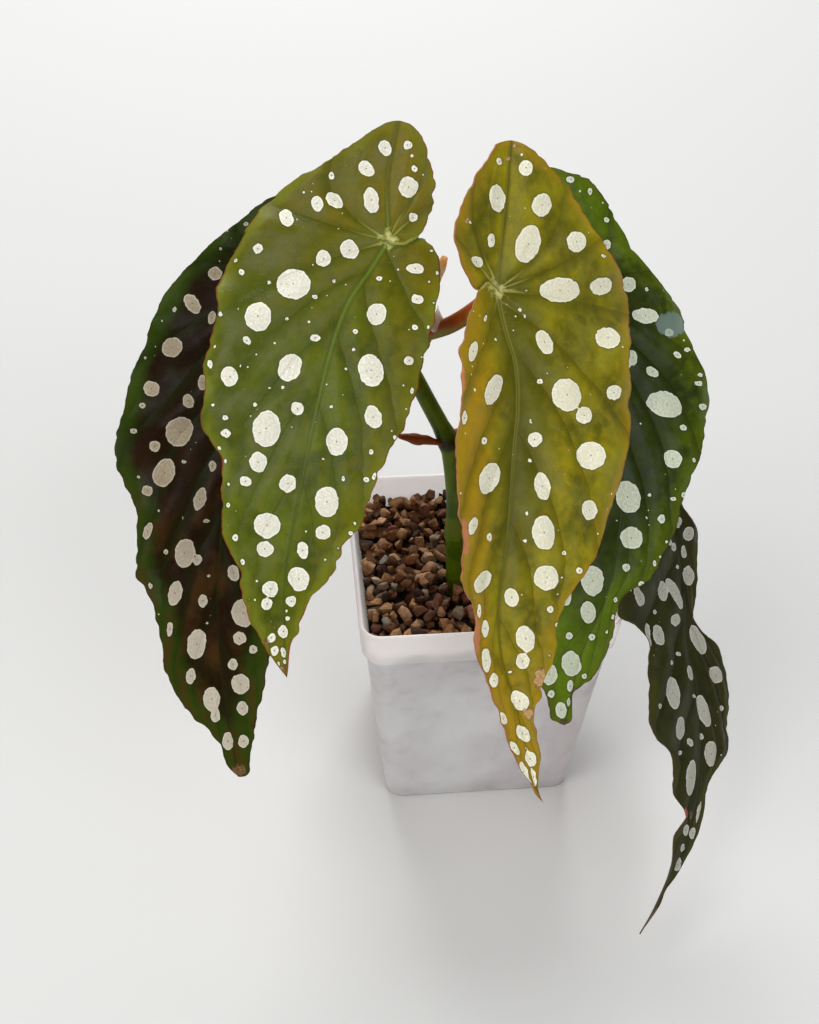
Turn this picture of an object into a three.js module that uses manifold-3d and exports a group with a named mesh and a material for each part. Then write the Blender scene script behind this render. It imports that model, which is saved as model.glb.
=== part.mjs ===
// A polka dot begonia in its square nursery pot, in millimetres, +Z up.
// The origin is the middle of the pot's underside, and the front of the plant is towards -Y.
import * as THREE from "three";
import { mergeVertices } from "three/addons/utils/BufferGeometryUtils.js";
import Module from "manifold-3d";

// Driving dimensions
const gap = 0.3; // left between pieces that touch
const pot = {
  height: 72, baseHalf: 26.7, bodyTopHalf: 33.1, rimHalf: 34.2, mouthHalf: 35,
  rimHeight: 10, bandStep: 1, edge: 0.8, cornerBase: 5, cornerTop: 6,
  wall: 1.2, lip: 1.5, floor: 1.6, drainRadius: 3, drainOut: 17,
};
const soil = {
  top: 61.5, rise: 1.5, pitch: 7, reach: 30, smallest: 2.7, largest: 3.7, stretch: 0.35, squash: 0.25,
  scatter: 2, unevenness: 1.6,
};
const blade = {
  thickness: 0.7, rowsUp: 8, rowsDown: 21, columns: 4, foldRound: 4, lobeRound: 6, curlSpan: 10, waveSpan: 25,
  waveShift: 2.1,
};
const stemSteps = 44;
const stalkStep = 4;
const stalkSides = 8;

// The stem's middle line, bottom to top, with its radius there. Leaves leave it at the swollen nodes.
const stemLine = [
  [-5.4, -5.2, 34, 2.6], [-6.5, -6, 63.6, 2.6], [-7.5, -7, 80, 2.4], [-7.7, -7.4, 84.5, 2.8],
  [-7.9, -7.6, 89, 2.3], [-8.3, -7.4, 98, 2.2], [-9.6, -6.6, 109.5, 2.3], [-10.4, -6.4, 113.6, 2.9],
  [-12.2, -5.6, 117.5, 2.3], [-15.1, -4.6, 123.3, 2.2], [-19.6, -3.4, 132.5, 2.1],
  [-21.2, -3.3, 135.6, 2.7], [-20.4, -3.6, 138.6, 2.1], [-18.1, -5.4, 142.8, 2],
  [-17.3, -6.1, 145.4, 2.6], [-17, -6.5, 148, 1.9], [-16.8, -6.6, 152.7, 2.1], [-16.2, -6.2, 155.5, 1.5],
];

// Each blade lies in a plane of its own. "attach" is where the stalk meets it, "tip" is its point and
// "faces" is the way its upper side looks. Outlines are in that plane: first the distance from the
// stalk towards the tip, then the distance to the right of that line, seen from above the blade.
// "Up" is the lobe above the stalk, "Down" is the rest, and the lobes part at a slit by the stalk.
const leaves = {
  left_front: {
    attach: [-26, -6, 170.5], tip: [-54, -70, 95], faces: [-0.15, -0.78, 0.62],
    arch: 7, lobeLift: 0.35, fold: [0.14, 0.1], curl: [0.6, 0.5], wave: [1.2, 21, 0.1],
    vein: [[-27.5, -4], [-14, -3.5], [0, 0], [8, -2.5], [17, -5.5], [27, -6.5], [42, -6.5],
      [60, -6], [81, -5], [96, -2], [103, 0]],
    leftUp: [[-27.5, -4], [-25, -8.5], [-20, -13], [-14.5, -18.5], [-9.5, -25], [-4, -29.5], [5, -33]],
    leftDown: [[5, -33], [12, -35], [19.5, -36], [26, -34], [36, -34.5], [43, -32.5], [51.5, -31],
      [58, -25], [63, -23.5], [75, -20.5], [82, -15], [87, -13.5], [95.5, -8], [103, 0]],
    rightUp: [[-27.5, -4], [-26.5, 0], [-23, 3.5], [-18.5, 5.5], [-14.5, 7.5], [-7.5, 7.8], [-4.5, 7.2],
      [-2, 6.2]],
    rightDown: [[-2, 6.2], [-2, 8], [0.2, 10.8], [3, 12.8], [7, 14], [17.5, 14.5], [30, 14.5],
      [40, 14], [48.5, 11.5], [60, 9.5], [67, 8.5], [70, 6.5], [77.5, 5], [86, 1.2], [94.5, -0.6],
      [103, 0]],
    stalk: { from: 16, bend: [[-21, -4.6, 162]], radius: [1.9, 1.7] },
  },
  right_front: {
    attach: [-2, -17, 163], tip: [3, -88, 70], faces: [0.25, -0.75, 0.6],
    arch: 6, lobeLift: 0.3, fold: [0.8, -0.12], curl: [0, 0.35], wave: [1.4, 26, 0.3],
    vein: [[-33.5, 5.5], [-16, 3], [0, 0], [11, 1], [17.5, 2], [25, 1.5], [39, -1.5], [57.5, -5],
      [68, -7.5], [76, -8.5], [84, -8], [93.5, -5.5], [107, -2.5], [117, 0]],
    leftUp: [[-33.5, 5.5], [-32.5, 2], [-27.5, -3], [-22.5, -7.5], [-17, -11], [-12, -13], [-7, -12],
      [-3, -9.5], [-0.7, -7.3], [0.3, -5.6]],
    leftDown: [[0.3, -5.6], [2, -6.2], [4, -8], [7.5, -11], [12, -13.2], [14.6, -16], [17.2, -15.2], [20, -16.4],
      [25.5, -17.5], [37, -19.5],
      [49.5, -20.5], [56, -19], [66, -19], [71.5, -15.5], [80, -16], [87, -13.5], [101.5, -8.5],
      [110, -5], [117, 0]],
    rightUp: [[-33.5, 5.5], [-31.5, 10.5], [-27.5, 16], [-22, 22.5], [-12.5, 28.5], [-6.5, 33.5],
      [-1.5, 38.5]],
    rightDown: [[-1.5, 38.5], [3.5, 41], [10, 37], [18, 33.5], [25, 35], [32, 34.5], [40, 30],
      [50, 26.5], [57, 23.5], [63, 19], [68, 14], [75, 8], [85, 5.5], [90, 1.8], [97, -0.8],
      [108, 0], [117, 0]],
    stalk: { from: 14, bend: [[-11.5, -10.8, 150.4], [-6.2, -13.2, 155.8]], radius: [2.1, 2] },
  },
  left_rear: {
    attach: [-46, 10, 155], tip: [-67.6, -61, 52], faces: [-0.35, -0.75, 0.6],
    arch: 6, lobeLift: 0.3, fold: [0.12, 0.1], curl: [0.5, 0.5], wave: [1.6, 24, 0.55],
    vein: [[-18.5, -5], [-9, -3], [0, 0], [8, -3.5], [18, -7], [34, -10], [54, -10.5], [71, -10],
      [89, -8.5], [108, -5], [127, 0]],
    leftUp: [[-18.5, -5], [-16.5, -9.5], [-12.5, -15], [-8, -19.5], [-2.5, -26], [6, -35]],
    leftDown: [[6, -35], [14, -36], [24, -39], [29, -42], [39.5, -40], [49, -43], [54, -42.5],
      [59, -37.5], [64, -33], [80.5, -32], [84.5, -27.5], [95.5, -23], [103, -21.5], [112, -14.5],
      [119, -5.5], [124.5, -3], [127, 0]],
    rightUp: [[-18.5, -5], [-17, 0], [-13, 5], [-8, 8.5], [-3.5, 8], [-1.5, 5], [0, 2.6]],
    rightDown: [[0, 2.6], [0, 6], [1, 10], [4, 15], [10, 18], [20, 19], [32, 18.5], [44, 16],
      [56, 12.5], [66, 11], [76, 9], [86, 7], [95, 5.5], [103.5, 5.5], [109, 4], [122, 3],
      [126, 2.5], [127, 0]],
    stalk: { from: 11, bend: [[-28, 2.5, 142], [-38.5, 10, 148]], radius: [2.2, 1.9] },
  },
  right_rear: {
    attach: [20.5, 6.5, 153.5], tip: [13, -62.5, 67.5], faces: [0.35, -0.75, 0.6],
    arch: 6, lobeLift: 0.3, fold: [0.1, 0.12], curl: [0.5, 0.5], wave: [1.6, 25, 0.2],
    vein: [[-25, -8], [-12, -3.5], [0, 0], [7, 4.5], [15, 8], [31, 11.5], [48, 12.5], [63, 12.5],
      [80, 9.5], [94, 4], [110.5, 0]],
    leftUp: [[-25, -8], [-22, -13], [-17, -16], [-10, -16], [-4, -12], [-2, -7], [0, -2.6]],
    leftDown: [[0, -2.6], [0, -8], [3, -13], [9, -17], [18, -19], [30, -18.5], [42, -16.5],
      [54, -14.5], [66, -12.5], [78, -11.5], [90, -11], [98, -9.5], [102.5, -7], [107, -3.5],
      [110.5, 0]],
    rightUp: [[-25, -8], [-24.5, -3], [-22.5, 5], [-15.5, 11.5], [-7.5, 17], [-2.5, 24], [3.5, 32.5]],
    rightDown: [[3.5, 32.5], [6.5, 35], [12.5, 33.5], [18.5, 35.5], [23, 39], [30, 42], [37.5, 38],
      [46, 35], [59.5, 30], [68.5, 25.5], [75, 22], [79.5, 15], [83, 13], [91, 12], [97, 9.5],
      [102.5, 4], [108, 3], [110.5, 0]],
    stalk: { from: 7, bend: [[-3.5, -2.5, 113.8], [6, 3.5, 126], [14.5, 8.5, 143]], radius: [2.2, 1.9] },
  },
  low_right: {
    attach: [51.5, -1.5, 90], tip: [35, -86, 10], faces: [0.58, -0.61, 0.54],
    arch: 4, lobeLift: 0.2, fold: [0.15, 0.1], curl: [0.4, 0.6], wave: [2, 34, 0.4],
    vein: [[-10, -6], [-5, -2.5], [0, 0], [13, 3], [29, 6], [40, 8], [55.5, 13], [69, 16], [82, 16],
      [90, 14.5], [98, 11.5], [108.5, 6], [117.5, 0]],
    leftUp: [[-10, -6], [-9, -10.5], [-5, -12], [-2, -9], [-1, -5.5], [0, -2.6]],
    leftDown: [[0, -2.6], [3, -8], [8, -15], [15, -21], [24, -24], [32, -23.5], [36.5, -21.5],
      [38.5, -13.5], [42.5, -8], [57, -8.5], [62, -9.5], [66.5, -6], [71, 3], [81, 5.5], [86, 12],
      [91.5, 7.5], [100, 8], [110, 4], [117.5, 0]],
    rightUp: [[-10, -6], [-8, -2], [-3, 2.5], [3, 6], [6.5, 10]],
    rightDown: [[6.5, 10], [10, 12.5], [17, 11.5], [28, 11], [33.5, 10], [37, 14], [39.5, 20],
      [45, 23.5], [52, 25.5], [61.5, 26.5], [68.5, 28], [73, 23.5], [78, 20], [88.5, 18.5],
      [100.5, 12.5], [106, 8], [110, 6], [117.5, 0]],
    stalk: { from: 3, bend: [[4, -4.5, 96], [22, -1.5, 103], [41, 1, 98]], radius: [2.2, 1.8] },
  },
};

// Papery sheaths at the nodes: where each starts, its point, its width and thickness, and how its
// girth changes along it as [share of its length, share of its width].
const budGirths = [[0, 0.7], [0.2, 0.95], [0.4, 1], [0.65, 0.85], [0.88, 0.55], [1, 0.25]];
const beadGirths = [[0, 0.5], [0.14, 0.88], [0.3, 1], [0.46, 0.88], [0.6, 0.5], [0.76, 0.2], [1, 0.1]];
const dryGirths = [[0, 0.45], [0.3, 0.6], [0.55, 0.9], [0.78, 1], [0.92, 0.85], [1, 0.4]];
const sheaths = {
  bud_sheath: {
    from: [-16, -6, 155.2], to: [-12.7, -4.8, 165.4], width: 3.2, thickness: 2.8, girths: budGirths,
  },
  clear_stipule: {
    from: [-14.5, -9.2, 145.8], to: [-14.5, -9.3, 154.8], width: 3.8, thickness: 3.2, girths: beadGirths,
  },
  dry_stipule: {
    from: [-11.5, -7.4, 113.4], to: [-22.6, -12, 119.2], width: 3.5, thickness: 3, girths: dryGirths,
  },
};

for (const leaf of Object.values(leaves)) {
  leaf.length = new THREE.Vector3(...leaf.attach).distanceTo(new THREE.Vector3(...leaf.tip));
}

const wasm = await Module();
wasm.setup();

// Repeatable numbers from 0 to 1
function seededRandom(seed) {
  let state = seed;
  return () => {
    state = (state * 1664525 + 1013904223) % 4294967296;
    return state / 4294967296;
  };
}

function geometryOf(points, indices) {
  const geometry = new THREE.BufferGeometry();
  geometry.setAttribute("position", new THREE.Float32BufferAttribute(points.flatMap((p) => p.toArray()), 3));
  geometry.setIndex(indices);
  return geometry;
}

// A three.js geometry as a solid that can be joined and cut, and back
function solidOf(geometry) {
  const bare = geometry.clone();
  bare.deleteAttribute("normal");
  bare.deleteAttribute("uv");
  const merged = mergeVertices(bare, 1e-4);
  const mesh = new wasm.Mesh({
    numProp: 3,
    vertProperties: new Float32Array(merged.attributes.position.array),
    triVerts: new Uint32Array(merged.index.array),
  });
  return new wasm.Manifold(mesh);
}

function geometryFrom(solid) {
  const mesh = solid.getMesh();
  const geometry = new THREE.BufferGeometry();
  geometry.setAttribute("position", new THREE.BufferAttribute(new Float32Array(mesh.vertProperties), 3));
  geometry.setIndex([...mesh.triVerts]);
  return geometry;
}

// The main body of a cut solid, without the scraps that the cut set free
function largestOf(solid) {
  return solid.decompose().reduce((most, body) => (body.volume() > most.volume() ? body : most));
}

// A closed skin over a row of rings that each have as many points, with a fan over both ends
function loft(rings) {
  const sides = rings[0].length;
  const points = rings.flat();
  const indices = [];
  for (let ring = 0; ring + 1 < rings.length; ring += 1) {
    for (let side = 0; side < sides; side += 1) {
      const a = ring * sides + side;
      const b = ring * sides + ((side + 1) % sides);
      indices.push(a, b, b + sides, a, b + sides, a + sides);
    }
  }
  const middle = (ring) => ring.reduce((sum, p) => sum.add(p), new THREE.Vector3()).divideScalar(sides);
  const first = points.push(middle(rings[0])) - 1;
  const last = points.push(middle(rings[rings.length - 1])) - 1;
  const lastRing = (rings.length - 1) * sides;
  for (let side = 0; side < sides; side += 1) {
    const next = (side + 1) % sides;
    indices.push(first, next, side, last, lastRing + side, lastRing + next);
  }
  return geometryOf(points, indices);
}

// A round bar along a curve, whose radius changes from end to end
function bar(curve, radiusAt, steps) {
  const frames = curve.computeFrenetFrames(steps, false);
  const rings = [];
  for (let step = 0; step <= steps; step += 1) {
    const middle = curve.getPointAt(step / steps);
    const ring = [];
    for (let side = 0; side < stalkSides; side += 1) {
      const angle = (2 * Math.PI * side) / stalkSides;
      const out = frames.normals[step].clone().multiplyScalar(Math.cos(angle));
      out.addScaledVector(frames.binormals[step], Math.sin(angle));
      ring.push(out.multiplyScalar(radiusAt(step / steps)).add(middle));
    }
    rings.push(ring);
  }
  return loft(rings);
}

// The pot: a square cup with round corners, a proud rim band and four drain holes
function squareRing(half, corner, z) {
  const perCorner = 5;
  const ring = [];
  for (let turn = 0; turn < 4; turn += 1) {
    for (let step = 0; step <= perCorner; step += 1) {
      const angle = (Math.PI / 2) * (turn + step / perCorner);
      const centre = new THREE.Vector2(half - corner, half - corner);
      centre.rotateAround(new THREE.Vector2(0, 0), (Math.PI / 2) * turn);
      ring.push(new THREE.Vector3(
        centre.x + corner * Math.cos(angle),
        centre.y + corner * Math.sin(angle),
        z,
      ));
    }
  }
  return ring;
}

// Half the pot's width at a height on its tapered body
function bodyHalfAt(z) {
  return pot.baseHalf + ((pot.bodyTopHalf - pot.baseHalf) * z) / (pot.height - pot.rimHeight);
}

// The pot's inside, made smaller by a margin
function cavity(shrink, bottom, top) {
  const insideHalf = (z) => bodyHalfAt(z) - pot.wall - shrink;
  return solidOf(loft([
    squareRing(insideHalf(bottom), pot.cornerBase - pot.wall, bottom),
    squareRing(insideHalf(top), pot.cornerTop - pot.wall, top),
  ]));
}

function makePot() {
  const bandFoot = pot.height - pot.rimHeight;
  const outside = solidOf(loft([
    squareRing(pot.baseHalf - pot.edge, pot.cornerBase - pot.edge, 0),
    squareRing(bodyHalfAt(pot.edge), pot.cornerBase, pot.edge),
    squareRing(bodyHalfAt(bandFoot - pot.bandStep), pot.cornerTop - pot.edge, bandFoot - pot.bandStep),
    squareRing(pot.rimHalf, pot.cornerTop, bandFoot),
    squareRing(pot.mouthHalf, pot.cornerTop, pot.height - pot.edge),
    squareRing(pot.mouthHalf - pot.edge / 2, pot.cornerTop - pot.edge / 2, pot.height),
  ]));
  const mouth = pot.mouthHalf - pot.lip;
  const inside = solidOf(loft([
    squareRing(bodyHalfAt(pot.floor) - pot.wall, pot.cornerBase - pot.wall, pot.floor),
    squareRing(bodyHalfAt(bandFoot) - pot.wall, pot.cornerTop - pot.wall, bandFoot),
    squareRing(mouth, pot.cornerTop - pot.lip, pot.height),
    squareRing(mouth, pot.cornerTop - pot.lip, pot.height + 1),
  ]));
  let shell = outside.subtract(inside);
  for (const x of [-pot.drainOut, pot.drainOut]) {
    for (const y of [-pot.drainOut, pot.drainOut]) {
      const drill = new THREE.CylinderGeometry(pot.drainRadius, pot.drainRadius, 3 * pot.floor, 12);
      drill.rotateX(Math.PI / 2).translate(x, y, pot.floor / 2);
      shell = shell.subtract(solidOf(drill));
    }
  }
  return shell;
}

// The stem, and a wider copy of it that cuts the holes it stands in
function makeStem(extra) {
  const middles = stemLine.map(([x, y, z]) => new THREE.Vector3(x, y, z));
  const curve = new THREE.CatmullRomCurve3(middles, false, "centripetal");
  const radiusAt = (u) => {
    const t = curve.getUtoTmapping(u) * (stemLine.length - 1);
    const k = Math.min(Math.floor(t), stemLine.length - 2);
    return THREE.MathUtils.lerp(stemLine[k][3], stemLine[k + 1][3], t - k) + extra;
  };
  return solidOf(bar(curve, radiusAt, stemSteps));
}

// The growing mix: a block that fills the pot, with rough granules sunk in its top
function makeSubstrate(wideStem) {
  const random = seededRandom(31);
  const bottom = pot.floor + gap;
  let mix = cavity(gap, bottom, soil.top);
  const count = Math.floor((2 * soil.reach) / soil.pitch);
  for (let row = 0; row <= count; row += 1) {
    for (let column = 0; column <= count; column += 1) {
      const size = THREE.MathUtils.lerp(soil.smallest, soil.largest, random());
      const granule = new THREE.IcosahedronGeometry(size, 0);
      granule.scale(1 + soil.stretch * random(), 1, 1 - soil.squash * random());
      granule.rotateX(2 * Math.PI * random()).rotateZ(2 * Math.PI * random());
      const x = -soil.reach + soil.pitch * (column + 0.5 * (row % 2)) + soil.scatter * (random() - 0.5);
      const y = -soil.reach + soil.pitch * row + soil.scatter * (random() - 0.5);
      const z = soil.top + soil.rise * (0.5 - y / soil.reach) + soil.unevenness * (random() - 0.5);
      mix = mix.add(solidOf(granule.translate(x, y, z)));
    }
  }
  return largestOf(mix.intersect(cavity(gap, bottom, pot.height)).subtract(wideStem));
}

// A smooth value at x through hand-picked [x, y] points
function valueThrough(points, x) {
  const last = points.length - 1;
  const at = THREE.MathUtils.clamp(x, points[0][0], points[last][0]);
  let k = 0;
  while (k < last - 1 && at > points[k + 1][0]) k += 1;
  const slopeAt = (j) => {
    const before = points[Math.max(j - 1, 0)];
    const after = points[Math.min(j + 1, last)];
    return (after[1] - before[1]) / (after[0] - before[0]);
  };
  const step = points[k + 1][0] - points[k][0];
  const u = (at - points[k][0]) / step;
  const ease = u * u * (3 - 2 * u);
  return points[k][1] * (1 - ease) + points[k + 1][1] * ease
    + step * u * (1 - u) * ((1 - u) * slopeAt(k) - u * slopeAt(k + 1));
}

// How far a blade stands out of its plane: arched along, lifted at the lobe, folded at the midrib,
// curled down at its sides and waved at its margin
function reliefOf(leaf, a, b) {
  const s = a / leaf.length;
  const w = b - valueThrough(leaf.vein, a);
  const side = w < 0 ? 0 : 1;
  const behind = (Math.hypot(a, blade.lobeRound) - a - blade.lobeRound) / 2;
  const [height, wavelength, phase] = leaf.wave;
  const wave = Math.sin(2 * Math.PI * (a / wavelength + phase) + blade.waveShift * side);
  return leaf.arch * 4 * s * (s > 0 ? 1 - s : 1)
    + leaf.lobeLift * behind
    + leaf.fold[side] * (Math.hypot(w, blade.foldRound) - blade.foldRound)
    - leaf.curl[side] * (w / blade.curlSpan) ** 2
    + height * wave * (w / blade.waveSpan) ** 2;
}

// Rows of points across a blade from margin to margin, on its middle surface
function bladeRows(leaf) {
  const attach = new THREE.Vector3(...leaf.attach);
  const along = new THREE.Vector3(...leaf.tip).sub(attach).normalize();
  const out = new THREE.Vector3(...leaf.faces);
  out.addScaledVector(along, -out.dot(along)).normalize();
  const across = out.clone().cross(along);
  const place = (p) => attach.clone().addScaledVector(along, p.x).addScaledVector(across, p.y)
    .addScaledVector(out, reliefOf(leaf, p.x, p.y));
  const curve = (points) => new THREE.CatmullRomCurve3(
    points.map(([a, b]) => new THREE.Vector3(a, b, 0)), false, "centripetal");
  const rowsBetween = (middle, left, right, count) => {
    const rows = [];
    for (let row = 0; row <= count; row += 1) {
      const u = row / count;
      const centre = middle.getPointAt(u);
      const line = [];
      for (let column = -blade.columns; column <= blade.columns; column += 1) {
        const margin = (column < 0 ? left : right).getPointAt(u);
        line.push(place(centre.clone().lerp(margin, Math.abs(column) / blade.columns)));
      }
      rows.push(line);
    }
    return rows;
  };
  const joint = leaf.vein.findIndex(([a]) => a === 0);
  const up = rowsBetween(curve(leaf.vein.slice(0, joint + 1)), curve(leaf.leftUp), curve(leaf.rightUp),
    blade.rowsUp);
  const down = rowsBetween(curve(leaf.vein.slice(joint)), curve(leaf.leftDown), curve(leaf.rightDown),
    blade.rowsDown);
  return [up, down];
}

// The blade as a thin body: one sheet of triangles, its copy underneath and a rim between them
function makeBlade(leaf, thickness) {
  const points = [];
  const found = new Map();
  const number = (p) => {
    const key = p.toArray().map((v) => v.toFixed(3)).join(" ");
    if (!found.has(key)) found.set(key, points.push(p) - 1);
    return found.get(key);
  };
  const sheet = [];
  for (const rows of bladeRows(leaf)) {
    for (let row = 0; row + 1 < rows.length; row += 1) {
      for (let column = 0; column + 1 < rows[row].length; column += 1) {
        const [a, b] = [rows[row][column], rows[row][column + 1]].map(number);
        const [c, d] = [rows[row + 1][column], rows[row + 1][column + 1]].map(number);
        const halves = column < blade.columns ? [[a, c, b], [b, c, d]] : [[a, c, d], [a, d, b]];
        sheet.push(...halves.filter(([i, j, k]) => i !== j && j !== k && k !== i));
      }
    }
  }
  const flat = geometryOf(points, sheet.flat());
  flat.computeVertexNormals();
  const normals = points.map((p, i) => new THREE.Vector3().fromBufferAttribute(flat.attributes.normal, i));
  const count = points.length;
  const face = (side) => points.map((p, i) => p.clone().addScaledVector(normals[i], (side * thickness) / 2));
  const edges = new Map();
  for (const [i, j, k] of sheet) {
    for (const [from, to] of [[i, j], [j, k], [k, i]]) {
      if (!edges.delete(`${to} ${from}`)) edges.set(`${from} ${to}`, [from, to]);
    }
  }
  const rim = [...edges.values()].map(([from, to]) => [from, from + count, to, to, from + count, to + count]);
  const under = sheet.map(([i, j, k]) => [i + count, k + count, j + count]);
  return solidOf(geometryOf([...face(1), ...face(-1)], [...sheet, ...under, ...rim].flat()));
}

// A leaf stalk, from inside the stem to inside its blade, before both are cut from it
function makeStalk(leaf, extra) {
  const { from, bend, radius } = leaf.stalk;
  const start = new THREE.Vector3(...stemLine[from]);
  const points = [start, ...bend.map((p) => new THREE.Vector3(...p)), new THREE.Vector3(...leaf.attach)];
  const curve = new THREE.CatmullRomCurve3(points, false, "centripetal");
  const steps = Math.max(8, Math.round(curve.getLength() / stalkStep));
  return solidOf(bar(curve, (u) => THREE.MathUtils.lerp(radius[0], radius[1], u) + extra, steps));
}

// A papery sheath, rolled round its own line
function makeSheath({ from, to, width, thickness, girths }) {
  const start = new THREE.Vector3(...from);
  const along = new THREE.Vector3(...to).sub(start);
  const side = new THREE.Vector3(0, 0, 1).cross(along).normalize();
  const out = along.clone().cross(side).normalize();
  const rings = girths.map(([u, girth]) => {
    const ring = [];
    for (let step = 0; step < stalkSides; step += 1) {
      const angle = (2 * Math.PI * step) / stalkSides;
      const point = start.clone().addScaledVector(along, u);
      point.addScaledVector(side, (Math.cos(angle) * girth * width) / 2);
      ring.push(point.addScaledVector(out, (Math.sin(angle) * girth * thickness) / 2));
    }
    return ring;
  });
  return solidOf(loft(rings));
}

// The assembled plant
const plant = new THREE.Group();
function addPiece(name, solid, colour, roughness) {
  const material = new THREE.MeshStandardMaterial({ color: colour, roughness, metalness: 0 });
  const mesh = new THREE.Mesh(geometryFrom(solid), material);
  mesh.name = name;
  plant.add(mesh);
}

const bladeColours = {
  left_front: 0x7d8a35, right_front: 0xa89a3a, left_rear: 0x4a4a24, right_rear: 0x4f6b2c, low_right: 0x56573a,
};
const wideStem = makeStem(gap);
addPiece("pot", makePot(), 0xdfe0dc, 0.45);
addPiece("substrate", makeSubstrate(wideStem), 0x7a5138, 0.9);
addPiece("stem", makeStem(0), 0x8a9a4a, 0.5);
let wideStalks = wideStem;
for (const [place, leaf] of Object.entries(leaves)) {
  const room = makeBlade(leaf, blade.thickness + 2 * gap);
  const stalk = largestOf(makeStalk(leaf, 0).subtract(wideStem).subtract(room));
  addPiece(`leaf_${place}`, makeBlade(leaf, blade.thickness), bladeColours[place], 0.4);
  addPiece(`stalk_${place}`, stalk, 0xa5633f, 0.5);
  wideStalks = wideStalks.add(makeStalk(leaf, gap));
}
for (const [name, sheath] of Object.entries(sheaths)) {
  addPiece(name, largestOf(makeSheath(sheath).subtract(wideStalks)), 0xc9a27a, 0.7);
}

export default plant;
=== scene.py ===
# A polka dot begonia in a square nursery pot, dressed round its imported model.
import math
import random

import bmesh
import bpy
import numpy as np
from mathutils import Matrix, Vector, noise


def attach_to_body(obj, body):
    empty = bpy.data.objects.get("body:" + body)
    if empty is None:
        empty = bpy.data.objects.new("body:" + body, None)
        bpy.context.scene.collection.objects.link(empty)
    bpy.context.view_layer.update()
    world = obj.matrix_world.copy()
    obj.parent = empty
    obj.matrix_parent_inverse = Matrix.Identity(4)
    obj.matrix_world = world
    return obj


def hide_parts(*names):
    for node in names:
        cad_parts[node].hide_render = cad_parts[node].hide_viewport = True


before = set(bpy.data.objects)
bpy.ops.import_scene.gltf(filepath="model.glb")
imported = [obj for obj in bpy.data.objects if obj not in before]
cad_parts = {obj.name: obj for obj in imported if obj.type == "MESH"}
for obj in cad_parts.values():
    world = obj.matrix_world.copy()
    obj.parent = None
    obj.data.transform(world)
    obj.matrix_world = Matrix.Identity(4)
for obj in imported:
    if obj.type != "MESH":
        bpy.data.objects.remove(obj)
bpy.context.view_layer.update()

scene = bpy.context.scene
mm = 0.001


# Small helpers for objects and meshes
def addObject(name, data):
    thing = bpy.data.objects.new(name, data)
    scene.collection.objects.link(thing)
    return thing


def objectFrom(bm, name):
    mesh = bpy.data.meshes.new(name)
    bm.to_mesh(mesh)
    bm.free()
    return addObject(name, mesh)


def smoothFaces(piece, angle=None):
    for face in piece.data.polygons:
        face.use_smooth = True
    if angle:
        piece.data.set_sharp_from_angle(angle=math.radians(angle))


def finishPiece(piece, slot, node, *materials):
    for mat in materials:
        piece.data.materials.append(mat)
    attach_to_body(piece, "root")
    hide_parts(node)


# Small helpers for materials. A Field is what a node puts out; sums with it add Math nodes.
class Field:
    def __init__(self, socket):
        self.socket = socket

    __add__ = lambda self, other: calc("ADD", self, other)
    __radd__ = lambda self, other: calc("ADD", other, self)
    __sub__ = lambda self, other: calc("SUBTRACT", self, other)
    __rsub__ = lambda self, other: calc("SUBTRACT", other, self)
    __mul__ = lambda self, other: calc("MULTIPLY", self, other)
    __truediv__ = lambda self, other: calc("DIVIDE", self, other)
    __abs__ = lambda self: calc("ABSOLUTE", self)


def give(node, values):
    # sets the inputs of a node, and links those that another node puts out
    for key, value in values.items():
        socket = node.inputs[key]
        if isinstance(value, Field):
            node.id_data.links.new(value.socket, socket)
        else:
            socket.default_value = (*value, 1) if socket.type == "RGBA" else value


def put(kind, inputs=None, tree=None, **settings):
    # a new node, in the tree of its linked inputs unless a tree is given
    inputs = inputs or {}
    tree = tree or next(value.socket.id_data for value in inputs.values() if isinstance(value, Field))
    node = tree.nodes.new("ShaderNode" + kind)
    for key, value in settings.items():
        setattr(node, key, value)
    give(node, inputs)
    return node


def out(node, key=0):
    return Field(node.outputs[key])


def calc(operation, *values, clamp=False):
    return out(put("Math", dict(enumerate(values)), operation=operation, use_clamp=clamp))


def clamped(value):
    return calc("MULTIPLY", value, 1.0, clamp=True)


def mixColour(share, first, second):
    return out(put("Mix", {0: share, 6: first, 7: second}, data_type="RGBA"), 2)


def fromTo(value, low, high, lowOut=0.0, highOut=1.0):
    inputs = {"Value": value, "From Min": low, "From Max": high, "To Min": lowOut, "To Max": highOut}
    return out(put("MapRange", inputs, interpolation_type="SMOOTHSTEP"))


def speckle(place, scale, detail=3.0, rough=0.5):
    return out(put("TexNoise", {"Vector": place, "Scale": scale, "Detail": detail, "Roughness": rough}))


def stray(cloud, reach):
    # a noise spread out to run from -reach to reach
    return fromTo(cloud, 0.3, 0.7, -reach, reach)


def cells(place, scale, randomness=1.0, **settings):
    inputs = {"Vector": place, "Scale": scale, "Randomness": randomness}
    return put("TexVoronoi", inputs, **settings)


def valueOf(tree, name, output="Fac"):
    return out(put("Attribute", tree=tree, attribute_name=name), output)


def placeIn(tree):
    return out(put("TexCoord", tree=tree), "Object")


def axisOf(vector, axis):
    return out(put("SeparateXYZ", {0: vector}), axis)


def lengthOf(vector):
    return out(put("VectorMath", {0: vector}, operation="LENGTH"), "Value")


def bumpOf(height, strength, distance=1.0):
    return out(put("Bump", {"Height": height, "Strength": strength, "Distance": distance * mm}))


def newMaterial(name):
    mat = bpy.data.materials.new(name)
    mat.use_nodes = True
    tree = mat.node_tree
    tree.nodes.clear()
    shader = put("BsdfPrincipled", tree=tree)
    put("OutputMaterial", {"Surface": out(shader)})
    return mat, tree, shader


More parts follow.
